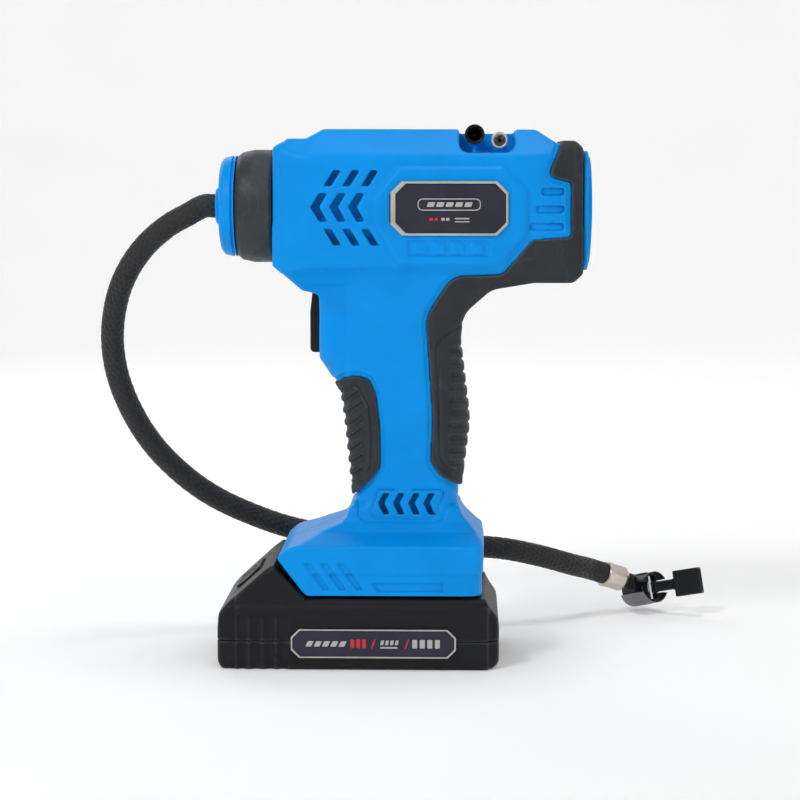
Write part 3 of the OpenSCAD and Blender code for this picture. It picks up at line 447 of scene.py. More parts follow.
def turned(name, profile, body, slot, replaces=(), centre=(0.0, 0.0), axis="x", steps=96, angle=35, **more):
    """A turned piece: profile is a closed list of (radius, distance along the axis)."""
    ring = np.arange(steps) * 2 * math.pi / steps
    places = []
    for radius, along in profile:
        p, q = radius * np.cos(ring) + centre[0], radius * np.sin(ring) + centre[1]
        a = np.full(steps, along)
        places.append(np.stack({"x": (a, p, q), "y": (p, a, q), "z": (p, q, a)}[axis], 1))
    count = len(profile)
    faces = []
    for i in range(count):
        j = (i + 1) % count
        for k in range(steps):
            m = (k + 1) % steps
            faces.append((i * steps + k, i * steps + m, j * steps + m, j * steps + k))
    piece = mesh_piece(name, np.concatenate(places), faces, body, slot, replaces, angle, **more)
    work = bmesh.new()
    work.from_mesh(piece.data)
    bmesh.ops.remove_doubles(work, verts=work.verts, dist=1e-7)
    bmesh.ops.recalc_face_normals(work, faces=work.faces)
    work.to_mesh(piece.data)
    work.free()
    crisp_normals(piece.data, angle)
    return piece


# ---- Shaders ----

class Value:
    """A number that varies over a surface; arithmetic on it adds Math nodes."""

    def __init__(self, maker, socket):
        self.maker = maker
        self.socket = socket

    def _math(self, operation, *given):
        return self.maker.value("ShaderNodeMath", {"operation": operation}, dict(enumerate(given)))

    def __add__(self, other):
        return self._math("ADD", self, other)

    __radd__ = __add__

    def __sub__(self, other):
        return self._math("SUBTRACT", self, other)

    def __rsub__(self, other):
        return self._math("SUBTRACT", other, self)

    def __mul__(self, other):
        return self._math("MULTIPLY", self, other)

    __rmul__ = __mul__

    def __truediv__(self, other):
        return self._math("DIVIDE", self, other)

    def wave(self):
        return self._math("SINE", self)


class Finish:
    """A material that is built from nodes."""

    def __init__(self, name):
        self.material = bpy.data.materials.new(name)
        self.material.use_nodes = True
        self.tree = self.material.node_tree
        self.tree.nodes.clear()
        self.shader = self.tree.nodes.new("ShaderNodeBsdfPrincipled")
        output = self.tree.nodes.new("ShaderNodeOutputMaterial")
        self.tree.links.new(self.shader.outputs[0], output.inputs["Surface"])
        coordinates = self.node("ShaderNodeTexCoord", {}, {}).outputs
        self.place, self.flat = coordinates["Object"], coordinates["UV"]

    def feed(self, socket, given):
        """Links a socket to a value or a socket, or gives it a constant."""
        if isinstance(given, Value):
            given = given.socket
        if isinstance(given, bpy.types.NodeSocket):
            self.tree.links.new(given, socket)
        else:
            socket.default_value = given

    def node(self, kind, settings, sockets):
        """Any node, from its type, its settings and the values or links of its sockets."""
        made = self.tree.nodes.new(kind)
        for key, setting in settings.items():
            setattr(made, key, setting)
        for key, given in sockets.items():
            self.feed(made.inputs[key], given)
        return made

    def value(self, kind, settings, sockets, output=0):
        return Value(self, self.node(kind, settings, sockets).outputs[output])

    def noise(self, scale, detail=2.0, roughness=0.5, stretch=None):
        """Noise at so many waves per metre."""
        place = self.place
        if stretch:
            scaled = self.node("ShaderNodeVectorMath", {"operation": "MULTIPLY"}, {0: place, 1: stretch})
            place = scaled.outputs[0]
        return self.value("ShaderNodeTexNoise", {}, {
            "Vector": place, "Scale": scale, "Detail": detail, "Roughness": roughness})

    def mask(self, value, start, end):
        return self.value("ShaderNodeMapRange", {"interpolation_type": "SMOOTHSTEP"}, {
            "Value": value, "From Min": start, "From Max": end, "To Min": 0.0, "To Max": 1.0})

    def mix(self, factor, first, second):
        return self.node("ShaderNodeMix", {"data_type": "RGBA"}, {0: factor, 6: first, 7: second}).outputs[2]

    def mottled(self, scale, detail, colour, low, high):
        """A colour in soft clouds, from low to high times its brightness."""
        cloud = self.mask(self.noise(scale, detail), 0.3, 0.7)
        return self.mix(cloud, shade(colour, low), shade(colour, high))

    def edges(self, tone, colour, light, crease_shade):
        """Painted highlights on the ridges and painted shade in the creases over a colour, from how pointed
        the mesh is there.
        """
        shape = self.value("ShaderNodeNewGeometry", {}, {}, "Pointiness")
        # painted shade: the creases are darkened
        tone = self.mix((1 - self.mask(shape, 0.44, 0.492)) * crease_shade, tone, shade(colour, 0.35))
        # painted highlight: the ridges are lightened
        return self.mix(self.mask(shape, 0.508, 0.56) * light[0], tone, shade(colour, light[1]))

    def part(self, letter):
        """One coordinate of the place, in metres."""
        split = self.node("ShaderNodeSeparateXYZ", {}, {0: self.place})
        return Value(self, split.outputs["XYZ".index(letter)])

    def bump(self, height, distance):
        sockets = {"Height": height, "Distance": distance, "Strength": 1.0}
        return self.node("ShaderNodeBump", {}, sockets).outputs[0]

    def done(self, **inputs):
        """Sets the shader's sockets; an underscore stands for a space of its socket's name."""
        for name, given in inputs.items():
            self.feed(self.shader.inputs[name.replace("_", " ")], given)
        return self.material


def shade(colour, factor):
    return tuple(min(1.0, c * factor) for c in colour[:3]) + (1.0,)


def moulded(name, colour, rough=(0.36, 0.46), grain=0.00004, spread=0.05, specular=0.5, wear=0.0,
            light=(0.5, 1.25), crease_shade=0.6):
    """Moulded plastic with a fine spark-eroded grain, painted highlights on its ridges and painted shade in
    its creases.
    """
    f = Finish(name)
    tone = f.mottled(45, 3, colour, 1 - spread, 1 + spread)
    fine = f.noise(2600, 2, 0.55)
    broad = f.noise(650, 3, 0.6)
    scuff = f.mask(f.noise(160, 4, 0.7, (1, 1, 5)), 0.66, 0.74)
    tone = f.mix(scuff * (0.10 + wear), tone, shade(colour, 1.35))
    # painted highlights on the ridges and painted shade in the creases
    tone = f.edges(tone, colour, light, crease_shade)
    roughness = rough[0] + (rough[1] - rough[0]) * f.mask(broad, 0.3, 0.7) + scuff * 0.06
    return f.done(Base_Color=tone, Roughness=roughness, Normal=f.bump(fine * 0.7 + broad * 0.3, grain),
                  Specular_IOR_Level=specular)


def rubber(name, colour, speckle=0.12, flow=0.0):
    """Soft moulded rubber: dull, slightly dusty, with a leathery grain and faint flow lines, painted
    highlights on its ridges and painted shade in its creases.
    """
    f = Finish(name)
    tone = f.mottled(60, 3, colour, 0.86, 1.12)
    fine = f.noise(1900, 3, 0.6)
    dust = f.mask(f.noise(420, 5, 0.72), 0.56, 0.76)
    tone = f.mix(dust * speckle, tone, (0.11, 0.115, 0.12, 1))
    thread = f.mask((f.noise(40, 4, 0.62, (1, 1, 0.4)) * 24 + f.part("X") * 160).wave(), 0.90, 1.0)
    tone = f.mix(thread * flow, tone, shade(colour, 2.4))
    # painted highlights on the ridges and painted shade in the creases
    tone = f.edges(tone, colour, (0.8, 3.2), 0.7)
    roughness = 0.56 + 0.12 * f.mask(fine, 0.3, 0.7) + dust * 0.06
    return f.done(Base_Color=tone, Roughness=roughness, Normal=f.bump(fine, 0.00006),
                  Sheen_Weight=0.03, Sheen_Roughness=0.45, Specular_IOR_Level=0.3)


def swirled_rubber(name, colour):
    """Rubber with the faint marbled flow lines of a moulded ring."""
    f = Finish(name)
    swirl = (f.noise(38, 3, 0.6) * 46 + f.part("Z") * 240).wave() * 0.5 + 0.5
    line = f.mask(swirl, 0.80, 0.98)
    tone = f.mix(line * 0.22, f.mottled(50, 2, colour, 0.95, 1.4), shade(colour, 2.2))
    fine = f.noise(1500, 3, 0.6)
    return f.done(Base_Color=tone, Roughness=0.50 - line * 0.08 + 0.05 * fine,
                  Normal=f.bump(fine + line * 0.2, 0.00006), Specular_IOR_Level=0.35)


def metal(name, colour, rough=(0.2, 0.32), brush=None, grain=0.00001, scale=900):
    """Plated or machined metal with faint marks along one way."""
    f = Finish(name)
    marks = f.noise(scale, 4, 0.65, brush)
    tone = f.mottled(110, 3, colour, 0.88, 1.06)
    tone = f.mix(f.mask(marks, 0.60, 0.75) * 0.25, tone, shade(colour, 0.6))
    roughness = rough[0] + (rough[1] - rough[0]) * f.mask(marks, 0.3, 0.7)
    return f.done(Base_Color=tone, Metallic=1.0, Roughness=roughness, Normal=f.bump(marks, grain))


def film(name, colour):
    """Printed film under a clear skin, with a fine metallic speckle."""
    f = Finish(name)
    speck = f.mask(f.noise(3200, 2, 0.7), 0.60, 0.72)
    tone = f.mix(speck * 0.35, f.mottled(80, 2, colour, 0.5, 0.65), shade(colour, 2.4))
    return f.done(Base_Color=tone, Roughness=0.34 + 0.1 * speck, Coat_Weight=0.08, Coat_Roughness=0.25,
                  Specular_IOR_Level=0.3, Normal=f.bump(f.noise(2200, 2), 0.00001))


def braided(name, colour):
    """Textile braid: yarns with small glints of painted highlight."""
    f = Finish(name)
    split = f.node("ShaderNodeSeparateXYZ", {}, {0: f.flat})
    around, along = Value(f, split.outputs[0]) * 300, Value(f, split.outputs[1]) * 9000
    fibres = ((around + along).wave() * 0.5 + 0.5) * ((around - along).wave() * 0.5 + 0.5)
    glint = f.mask(f.noise(1300, 4, 0.7), 0.52, 0.70)
    tone = f.mix(f.mask(fibres, 0.2, 0.9), shade(colour, 0.6), shade(colour, 1.5))
    # painted highlight: small glints brighten the colour
    tone = f.mix(glint * 0.35, tone, shade(colour, 4.2))
    return f.done(Base_Color=tone, Roughness=0.52 - glint * 0.12, Normal=f.bump(fibres + glint * 0.4, 0.00008),
                  Sheen_Weight=0.15, Sheen_Roughness=0.4)


def board(name):
    """Green circuit board with lighter tracks."""
    f = Finish(name)
    tracks = f.mask((f.part("Z") * 2600).wave() * (f.part("X") * 900).wave() + f.noise(240, 2), 0.9, 1.0)
    tone = f.mix(tracks, (0.004, 0.07, 0.03, 1), (0.02, 0.19, 0.08, 1))
    return f.done(Base_Color=tone, Roughness=0.3 + 0.1 * f.noise(500, 2), Normal=f.bump(tracks, 0.00004),
                  Coat_Weight=0.3, Coat_Roughness=0.2)


def wound_copper(name):
    """Turns of copper wire."""
    f = Finish(name)
    turns = (f.part("X") * 9000).wave() * 0.5 + 0.5
    # painted shade in the gaps between the turns and painted highlights on their crowns, dark to bright copper
    tone = f.mix(turns, (0.28, 0.07, 0.025, 1), (0.80, 0.33, 0.14, 1))
    return f.done(Base_Color=tone, Metallic=0.9, Roughness=0.25 + 0.15 * f.noise(300, 2),
                  Normal=f.bump(turns, 0.0002))


MATERIALS = {}


def make_materials():
    """One finish for each material slot of the record, and the marks on the labels."""
    c = colours()
    for name, maker, *given in (
            ("azure_plastic", moulded, c.azure, (0.36, 0.46), 0.00006, 0.05, 0.12),
            ("charcoal_rubber", rubber, c.rubber, 0.16, 0.22),
            ("collar_rubber", swirled_rubber, shade(c.rubber, 1.25)),
            # black plastic: scuff wear 0.05, painted highlights on its ridges at six times its colour, painted
            # shade 0.5 in its creases
            ("black_plastic", moulded, c.coal, (0.36, 0.50), 0.00006, 0.10, 0.24, 0.05, (0.8, 6), 0.5),
            ("champagne_frame", metal, c.champagne, (0.36, 0.48), None, 0.00001, 1500),
            ("label_film", film, c.film),
            ("steel", metal, (0.56, 0.57, 0.59, 1), (0.2, 0.36), (1, 6, 6)),
            ("nickel", metal, (0.66, 0.59, 0.53, 1), (0.26, 0.42), (6, 1, 1), 0.00003, 700),
            ("cast_alloy", metal, (0.50, 0.51, 0.53, 1), (0.42, 0.6), None, 0.0001, 600),
            ("copper_winding", wound_copper),
            ("brass", metal, (0.72, 0.50, 0.20, 1), (0.2, 0.34), (6, 1, 1)),
            ("gear_nylon", moulded, (0.72, 0.70, 0.62, 1), (0.40, 0.5)),
            ("circuit_board", board),
            ("cell_wrap", moulded, (0.02, 0.20, 0.10, 1), (0.22, 0.3), 0.00002),
            ("cell_frame", moulded, (0.66, 0.67, 0.64, 1), (0.42, 0.52)),
            ("hose_braid", braided, c.braid),
            ("seal_rubber", rubber, (0.02, 0.02, 0.022, 1), 0.06),
            ("shell_metal", metal, (0.23, 0.22, 0.235, 1), (0.24, 0.36), (1, 8, 1), 0.00001),
            ("chrome", metal, (0.78, 0.80, 0.83, 1), (0.06, 0.14), (1, 1, 6), 0.000004),
            ("mark_white", moulded, (0.46, 0.45, 0.43, 1), (0.4, 0.5), 0.00001, 0.03),
            ("mark_red", moulded, c.accent, (0.4, 0.5), 0.00001, 0.03)):
        MATERIALS[name] = maker(name, *given)


# ---- Places of the chuck and its neck ----

def turn(degrees, axis):
    return Matrix.Rotation(math.radians(degrees), 4, axis)


CHUCK = Matrix.Translation((111.5, 97, 10.6)) @ turn(33, "Z") @ turn(-15, "X")
NECK = CHUCK @ Matrix.Translation((-5, 3, 4)) @ turn(20, "Y")
LEVER = CHUCK @ Matrix.Translation((0, -4, 0)) @ turn(35, "Z")
FERRULE_X = -16.0


def neck_point(x):
    return tuple(NECK @ Vector((x, 0, 0)))


HOSE_ROUTE = [
    (GLAND_LOW[0] - 0.01, 0, AXIS_Z), (GLAND_LOW[0] - 5, 0, AXIS_Z), (-89, 1, 186.5), (-98.3, 3, 181.3),
    (-110, 8, 171), (-119.5, 14, 156), (-124.7, 22, 136), (-124, 28, 118), (-118.7, 34, 100.5),
    (-109.6, 40, 84), (-97, 45, 70), (-84, 49, 60), (-67, 53, 51.3), (-49, 56, 44.8), (-20, 59, 39.5),
    (12, 60, 37), (43, 62, 35.2), (61, 69, 30.7), (77, 78, 25), neck_point(FERRULE_X - 8),
    neck_point(FERRULE_X - 0.02)]


def smooth_route(points, gap):
    """Even points, gap apart, on a smooth curve through the route's points."""
    p = [Vector(q) for q in points]
    p = [p[0] * 2 - p[1]] + p + [p[-1] * 2 - p[-2]]
    dense = []
    for i in range(1, len(p) - 2):
        t = [0.0]
        for j in range(i - 1, i + 2):
            t.append(t[-1] + math.sqrt((p[j + 1] - p[j]).length))
        for s in np.linspace(t[1], t[2], 60, endpoint=False):
            a = [(t[k + 1] - s) / (t[k + 1] - t[k]) * p[i - 1 + k] + (s - t[k]) / (t[k + 1] - t[k]) * p[i + k]
                 for k in range(3)]
            b = [(t[k + 2] - s) / (t[k + 2] - t[k]) * a[k] + (s - t[k]) / (t[k + 2] - t[k]) * a[k + 1]
                 for k in range(2)]
            dense.append((t[2] - s) / (t[2] - t[1]) * b[0] + (s - t[1]) / (t[2] - t[1]) * b[1])
    dense.append(p[-2])
    dense = np.array([tuple(q) for q in dense])
    reach = np.concatenate([[0], np.cumsum(np.linalg.norm(np.diff(dense, axis=0), axis=1))])
    steps = np.linspace(0, reach[-1], int(reach[-1] / gap) + 1)
    return np.stack([np.interp(steps, reach, dense[:, i]) for i in range(3)], 1), steps


# ---- Operators ----

def crimp(piece):
    """Presses eight flats, with a ridge between them, into the ferrule's sleeve."""
    flats, depth, ridge, sleeve = 8, 0.42, 0.34, 4.2
    for v in piece.data.vertices:
        x, y, z = (c / MM for c in v.co)
        reach = math.hypot(y, z)
        if reach > sleeve:
            around = math.atan2(z, y) * flats / (2 * math.pi) % 1
            fade = min(1, max(0, (x - FERRULE_X - 1.6) / 0.8)) * min(1, max(0, (FERRULE_X + 10.8 - x) / 1.2))
            pressed = depth * (1 - (2 * around - 1) ** 2) + ridge * max(0, 1 - min(around, 1 - around) / 0.05)
            pull = 1 - fade * pressed / reach
            v.co.y *= pull
            v.co.z *= pull


def along_ferrule(corners, steps):
    """Profile of a piece on the ferrule's axis, from (radius, distance from its start, rounding)."""
    return outline([(radius, FERRULE_X + x, rounding) for radius, x, rounding in corners], steps)


class PUMP_OT_chuck(bpy.types.Operator):
    """Builds the ferrule, the chuck's shell, body and neck, its lever and its ball."""
    bl_idname = "pump.chuck"
    bl_label = "Chuck"

    def execute(self, context):
        self.ferrule()
        self.body()
        self.lever()
        ball = [(0.95 * math.sin(t), -0.95 * math.cos(t)) for t in np.linspace(0, math.pi, 21)]
        turned("chuck_ball", ball, "tool", "steel", axis="z", steps=32, finish="chrome",
               place=CHUCK @ Matrix.Translation((6.35, 3.2, -0.6)))
        return {"FINISHED"}

    def ferrule(self):
        r = sizes().hose_diameter / MM / 2 + 1.1
        profile = along_ferrule([
            (0.01, 0, 0.05), (r - 0.6, 0, 0.2), (r - 0.02, 0.5, 0.4), (r - 0.02, 5, 0.2), (r - 0.02, 9.6, 0.6),
            (r - 1.9, 12, 0.8), (3.8, 12, 0.2), (3.8, 8.2, 0.2), (0.01, 8.2, 0.05)], 4)
        ferrule = turned("hose_ferrule_crimped", profile, "tool", "nickel", ["hose_ferrule"],
                         steps=144, angle=30)
        crimp(ferrule)
        turn_to = NECK.copy()
        turn_to.translation *= MM
        ferrule.data.transform(turn_to)
        crisp_normals(ferrule.data, 28)

    def body(self):
        shell = Region((-8, -8.5, -8), (8, 10, 8), CHUCK_STEP)
        tube = both(shell.rod("y", 7.48, 0, 0), shell.slab("y", -8, 9.6), 0.25)
        tube = without(tube, shell.rod("y", 6.68, 0, 0), 0.2)
        for gap in (((-12, -1), (-20, 20), (-1.5, 12)), ((0, 12), (-12, -0.2), (-3, 3)),
                    ((-1, 1.6), (-12, -2), (-12, 12))):
            tube = without(tube, shell.block(*gap, 0.5), 0.2)
        ball_hole = both(np.hypot(shell.y - 3.2, (shell.z + 0.6) * 1.7) - 1.7, shell.slab("x", 2, 9))
        solid("chuck_shell_pressed", shell, without(tube, ball_hole, 0.15), "tool", "steel", ["chuck_shell"],
              place=CHUCK, angle=40, finish="shell_metal")

        body = Region((-12, -8.2, -7.2), (7.2, 10.2, 10), CHUCK_STEP)
        core = both(body.rod("y", 6.55, 0, 0), body.slab("y", -7.4, 9.5), 0.5)
        for cutter, radius in (
                (both(body.rod("y", 6.02, 0, 0), body.slab("y", 2.0, 12)), 0.2),
                (both(body.rod("y", 2, 0, 0), body.slab("y", -0.1, 4)), 0.1),
                (body.block((-8, 8), (-12, -0.2), (-2.85, 2.85), 0.4), 0.3),
                (body.block((-3.2, 1.6), (-12, -3.0), (-5.3, 5.3), 0.4), 0.25),
                (body.rod("z", 1.27, 0, -4), 0.1)):
            core = without(core, cutter, radius)
        solid("chuck_body_moulded", body, core, "tool", "black_plastic", ["chuck_body"], place=CHUCK, angle=40)
        neck = along_ferrule([
            (0.01, 8.1, 0.05), (3.72, 8.1, 0.2), (3.72, 12.5, 0.3), (3.2, 12.9, 0.2), (3.2, 13.6, 0.2),
            (3.72, 14, 0.3), (3.72, 16.6, 0.3), (0.01, 16.6, 0.05)], 3)
        turned("chuck_neck", neck, "tool", "black_plastic", place=NECK, steps=48)

    def lever(self):
        lever = Region((-4.2, -25.5, -6.5), (4, 4, 6.5), CHUCK_STEP)
        hub = both(lever.rod("z", 3.35, 0, 0), lever.slab("z", -2.38, 2.38), 0.4)
        arm = lever.block((-1.6, 1.6), (-15, 0), (-2.38, 2.38), 0.5)
        for x in ((-3, -1.0), (1.0, 3)):
            arm = without(arm, lever.block(x, (-12, -4.5), (-1.3, 1.3), 0.3), 0.2)
        taper = 2.6 - 0.03 * (-12 - lever.y)
        paddle = both(np.abs(lever.x) - taper, lever.slab("y", -25, -12.5), 0.5)
        paddle = both(paddle, lever.slab("z", -6, 6), 0.5)
        for x in (-0.9, 0.9):
            slit = both(lever.slab("y", -26, -24.5), lever.slab("z", -5, 5), 0.2)
            paddle = without(paddle, both(slit, lever.slab("x", x - 0.5, x + 0.5), 0.2), 0.15)
        whole = either(either(hub, arm, 1.0), paddle, 1.2)
        whole = without(whole, both(lever.slab("x", -9, -0.9), lever.slab("y", -3.0, 9)), 0.3)
        whole = without(whole, lever.rod("z", 1.31, 0, 0), 0.15)
        solid("chuck_lever_moulded", lever, whole, "chuck_lever", "black_plastic", ["chuck_lever"],
              place=LEVER, angle=40)


class PUMP_OT_hose(bpy.types.Operator):
    """Builds the braided hose from the gland, round behind the foot, to the ferrule."""
    bl_idname = "pump.hose"
    bl_label = "Braided hose"

    def execute(self, context):
        radius = sizes().hose_diameter / MM / 2
        around, yarn = 96, 0.6
        centres, along = smooth_route(HOSE_ROUTE, 0.55)
        ways = np.gradient(centres, axis=0)
        ways /= np.linalg.norm(ways, axis=1)[:, None]
        side = np.cross(ways[0], (0.1, 1, 0.05))
        sides = []
        for way in ways:
            side = side - way * (side @ way)
            side /= np.linalg.norm(side)
            sides.append(side)
        sides = np.array(sides)
        ups = np.cross(ways, sides)
        angle = np.arange(around + 1) * 2 * math.pi / around
        strands = sizes().braid_strands
        lay = strands / radius * 0.62
        p = strands * angle[None, :] + lay * along[:, None]
        q = strands * angle[None, :] - lay * along[:, None]
        over = 0.38 * np.sign(np.sin(p / 2 + q / 2) * np.cos(p / 2 - q / 2))
        first = np.abs(np.cos(p / 2)) ** 0.6 * (0.62 + over)
        second = np.abs(np.cos(q / 2)) ** 0.6 * (0.62 - over)
        r = radius - yarn + yarn * np.maximum(first, second)
        places = centres[:, None, :] + r[:, :, None] * (
            np.cos(angle)[None, :, None] * sides[:, None, :] + np.sin(angle)[None, :, None] * ups[:, None, :])
        places = places[:, :-1].reshape(-1, 3)
        rows = len(centres)
        i, k = np.meshgrid(np.arange(rows - 1), np.arange(around), indexing="ij")
        m = (k + 1) % around
        row, above = i * around, (i + 1) * around
        faces = np.stack([row + k, row + m, above + m, above + k], -1).reshape(-1, 4)
        hose = mesh_piece("braided_hose", places, faces[:, ::-1], "tool", "hose_braid", ["air_hose"], angle=80)
        uv = hose.data.uv_layers.new(name="braid")
        u = np.stack([k, m, m, k], -1).reshape(-1, 4) / around
        seam = (u == 0) & (k.reshape(-1, 1) == around - 1)
        u = np.where(seam, 1.0, u)
        v = np.stack([i, i, i + 1, i + 1], -1).reshape(-1, 4) * (along[1] * MM)
        uv.data.foreach_set("uv", np.stack([u[:, ::-1], v[:, ::-1]], -1).astype(np.float32).ravel())
        ends = bmesh.new()
        ends.from_mesh(hose.data)
        bmesh.ops.holes_fill(ends, edges=[e for e in ends.edges if e.is_boundary], sides=0)
        ends.to_mesh(hose.data)
        ends.free()
        return {"FINISHED"}


class PUMP_OT_stage(bpy.types.Operator):
    """Sets up the floor, the soft studio light and the camera."""
    bl_idname = "pump.stage"
    bl_label = "Stage"

    def execute(self, context):
        scene = context.scene
        s = scene.pump_stage
        camera_data = bpy.data.cameras.new("camera")
        camera_data.lens = s.lens
        camera_data.sensor_width = 36
        camera = bpy.data.objects.new("camera", camera_data)
        scene.collection.objects.link(camera)
        across, away = math.sin(s.side_angle), math.cos(s.side_angle)
        camera.location = (s.distance * across, -s.distance * away, s.height)
        camera.rotation_euler = (math.pi / 2 - s.pitch, 0, s.side_angle)
        scene.camera = camera

        floor = bpy.data.objects.new("floor", self.floor_mesh())
        scene.collection.objects.link(floor)

        world = bpy.data.worlds.new("studio")
        scene.world = world
        world.use_nodes = True
        background = world.node_tree.nodes["Background"]
        background.inputs["Color"].default_value = (1, 1, 1, 1)
        background.inputs["Strength"].default_value = 0.05
        scene.view_settings.view_transform = "Standard"

        for name, place, aim, width, depth, power in (
                ("key", (-0.7, -1.0, 1.15), (0, 0, 0.12), 0.3, 0.25, 7),
                ("fill", (1.3, -0.8, 0.45), (0, 0, 0.12), 0.4, 0.8, 0.3),
                ("top", (0.15, 0.0, 1.4), (0, 0, 0.1), 0.6, 0.35, 4.6),
                ("back", (-0.5, 1.0, 0.8), (0, 0, 0.15), 0.6, 0.5, 2),
                ("wall", (0.0, 0.9, 1.5), (0, 2.2, 0.7), 1.6, 0.5, 10)):
            data = bpy.data.lights.new(name, "AREA")
            data.shape = "RECTANGLE"
            data.size, data.size_y, data.energy = width, depth, power
            lamp = bpy.data.objects.new(name, data)
            scene.collection.objects.link(lamp)
            lamp.location = place
            lamp.rotation_euler = (Vector(aim) - Vector(place)).to_track_quat("-Z", "Y").to_euler()
        return {"FINISHED"}

    def floor_mesh(self):
        """A round floor of paper that bends up into a wall on all sides, in metres."""
        flat, rise, tall, turns = 1.6, 1.2, 4.0, 72
        bend = [(flat + rise * math.sin(a), rise - rise * math.cos(a))
                for a in np.linspace(0, math.pi / 2, 20)]
        rings = [(0.5, 0.0)] + bend + [(flat + rise, tall)]
        angles = np.linspace(0, 2 * math.pi, turns, endpoint=False)
        points = [(0, 0, 0)] + [(r * math.cos(t), r * math.sin(t), z) for r, z in rings for t in angles]
        pairs = [(1 + k, 1 + (k + 1) % turns) for k in range(turns)]
        faces = [(0, k, m) for k, m in pairs]
        for start in range(0, (len(rings) - 1) * turns, turns):
            faces += [(start + k, start + turns + k, start + turns + m, start + m) for k, m in pairs]
        mesh = bpy.data.meshes.new("floor")
        mesh.from_pydata(points, [], faces)
        mesh.shade_smooth()
        f = Finish("floor_paper")
        mesh.materials.append(f.done(
            Base_Color=f.mix(f.mask(f.noise(6, 2), 0.2, 0.8), (0.90, 0.90, 0.90, 1), (0.93, 0.93, 0.93, 1)),
            Roughness=0.9, Specular_IOR_Level=0.2, Emission_Color=(1, 1, 1, 1), Emission_Strength=0.17))
        return mesh


def housing_form(g):
    """Outer form of the whole housing, and its side view, as distances over a region."""
    side = g.side(SIDE)
    low, top, w = AXIS_Z - 37, AXIS_Z + 33, HALF_BARREL
    section = g.end(mirrored([(14 - w, low, 6), (-w, low + 14, 6), (-w, top - 13, 5), (13 - w, top, 4)]))
    plan = g.plan(mirrored([(RING_X, -24, 0.4), (RING_X + 5, -28.2, 1.5), (RING_X + 15, -w, 4),
                            (REAR_X - 17, -w, 5), (REAR_X, 4 - w, 1)], (1, -1)))
    barrel = both(both(section, plan, 1.5), side, 1.5)
    # the grip swells towards the barrel and thins beside the trigger
    thick = 18.0 + 5.0 * ramp(g.z, AXIS_Z - 62, AXIS_Z - 30) * ramp(g.x, -24, -4)
    beside = ramp(g.z, grip_z(0.78), grip_z(0.92)) * ramp(-g.z, 31 - AXIS_Z, 33 - AXIS_Z)
    thick = thick - 1.3 * ramp(-g.x, 20.2, 22.4) * beside
    fillet = 11.0 - 6.5 * ramp(g.z, AXIS_Z - 70, AXIS_Z - 52)
    grip = both(both(side, np.abs(g.y) - thick, fillet), g.slab("z", FOOT_Z + 14, AXIS_Z - 14))
    w = HALF_FOOT
    section = g.end(mirrored([(-w, FOOT_Z - 1, 0.3), (-w, FOOT_Z + 21.2, 1.5), (12 - w, FOOT_Z + 25.5, 2.5),
                              (-19.5, FOOT_Z + 29.5, 4), (-18, FOOT_Z + 36, 3)]))
    plan = g.plan(mirrored([(-56, -w, 3), (35.5, -w, 8)], (1, -1)))
    foot = both(both(section, plan, 1.0), side, 1.2)
    form = either(either(barrel, grip, 9.0), foot, 3.0)
    return np.maximum(form, side), side


def shallow(g):
    """Depth of the shallow details of the housing's sides: steps, grooves and panels."""
    depth = sizes().groove_depth / MM

    def line(points, width, deep):
        return deep * (1 - ramp(np.abs(g.side(points)) - width / 2, -0.35, 0.35))

    sunk = line(NECK_PANEL, 0.7, depth * 1.5)
    middle = -np.abs(g.x - 2)
    sunk = sunk + line(NECK_FLANK, 0.6, depth * 1.2) * ramp(middle, -30, -26) * ramp(g.z, 54, 58)
    sunk = sunk + 0.8 * ramp(g.side(NECK_FLANK), -0.4, 0.4) * ramp(-g.z, -84, -74) * ramp(middle, -40, -36)
    for points in (REAR_COVER, FRONT_COVER):
        near = g.side(points)
        sunk = sunk + 0.75 * (1 - ramp(near, 1.5, 2.1)) * ramp(near, -0.6, -0.1)
    slashes = [[(x, 44.2), (x + 3.2, 44.2), (x + 10.9, 33.2), (x + 8, 33.2)] for x in (-38.9, -32.0, -25.1)]
    for points in slashes + [[(-11.2, 36), (18.7, 36), (18.7, 32.5), (-8.4, 32.5)]]:
        sunk = sunk + depth * 2.0 * (1 - ramp(g.side(points), -0.4, 0.3))
    return sunk + 0.5 * (1 - ramp(np.abs(g.x + 47.3) - 0.1, -0.45, 0.45)) * ramp(g.z, 150, 156)


def vents(g):
    """Slots through the housing's sides: three rows in the barrel and one in the neck."""
    shapes = []
    z = AXIS_Z
    for x in (-35.7, -35.7 + 7.65, -35.7 + 2 * 7.65):
        shapes += [
            [(x + 5.4, z + 8.7), (x + 9.4, z + 15.1), (x + 12.5, z + 15.1), (x + 8.5, z + 8.7)],
            [(x, z + 0.2), (x + 3.6, z + 5.8), (x + 6.8, z + 5.8), (x + 3.6, z + 0.2),
             (x + 6.8, z - 5.8), (x + 3.6, z - 5.8)],
            [(x + 5.4, z - 8.8), (x + 8.5, z - 8.8), (x + 12.5, z - 15.4), (x + 9.4, z - 15.4)]]
    for i in range(4):
        x = -8.6 + i * 6.3
        shapes.append([(x, 66.9), (x + 2.1, 71), (x + 4.7, 71), (x + 2.5, 66.9), (x + 4.7, 62.4),
                       (x + 2.1, 62.4)])
    return lowest(g.side(shape) for shape in shapes)


def rear_slots(g):
    """Blind slots beside the rear of the label."""
    return lowest(g.side(rectangle(REAR_X - 17.3 - 2.4 * i, REAR_X - 8, AXIS_Z + 4.8 - 7.1 * i,
                                   AXIS_Z + 7.9 - 7.1 * i, 1.5)) for i in range(3))


def ducts(g, form):
    """Inner walls behind the side slots."""
    barrel = both(np.abs(np.abs(g.y) - 23.2) - 0.75, g.side(rectangle(-40, -6, 168, 210, 1)))
    neck = both(np.abs(np.abs(g.y) - 10.2) - 0.75, g.side(rectangle(-17, 24, 56, 76, 1)))
    return both(np.minimum(barrel, neck), form + SKIN)


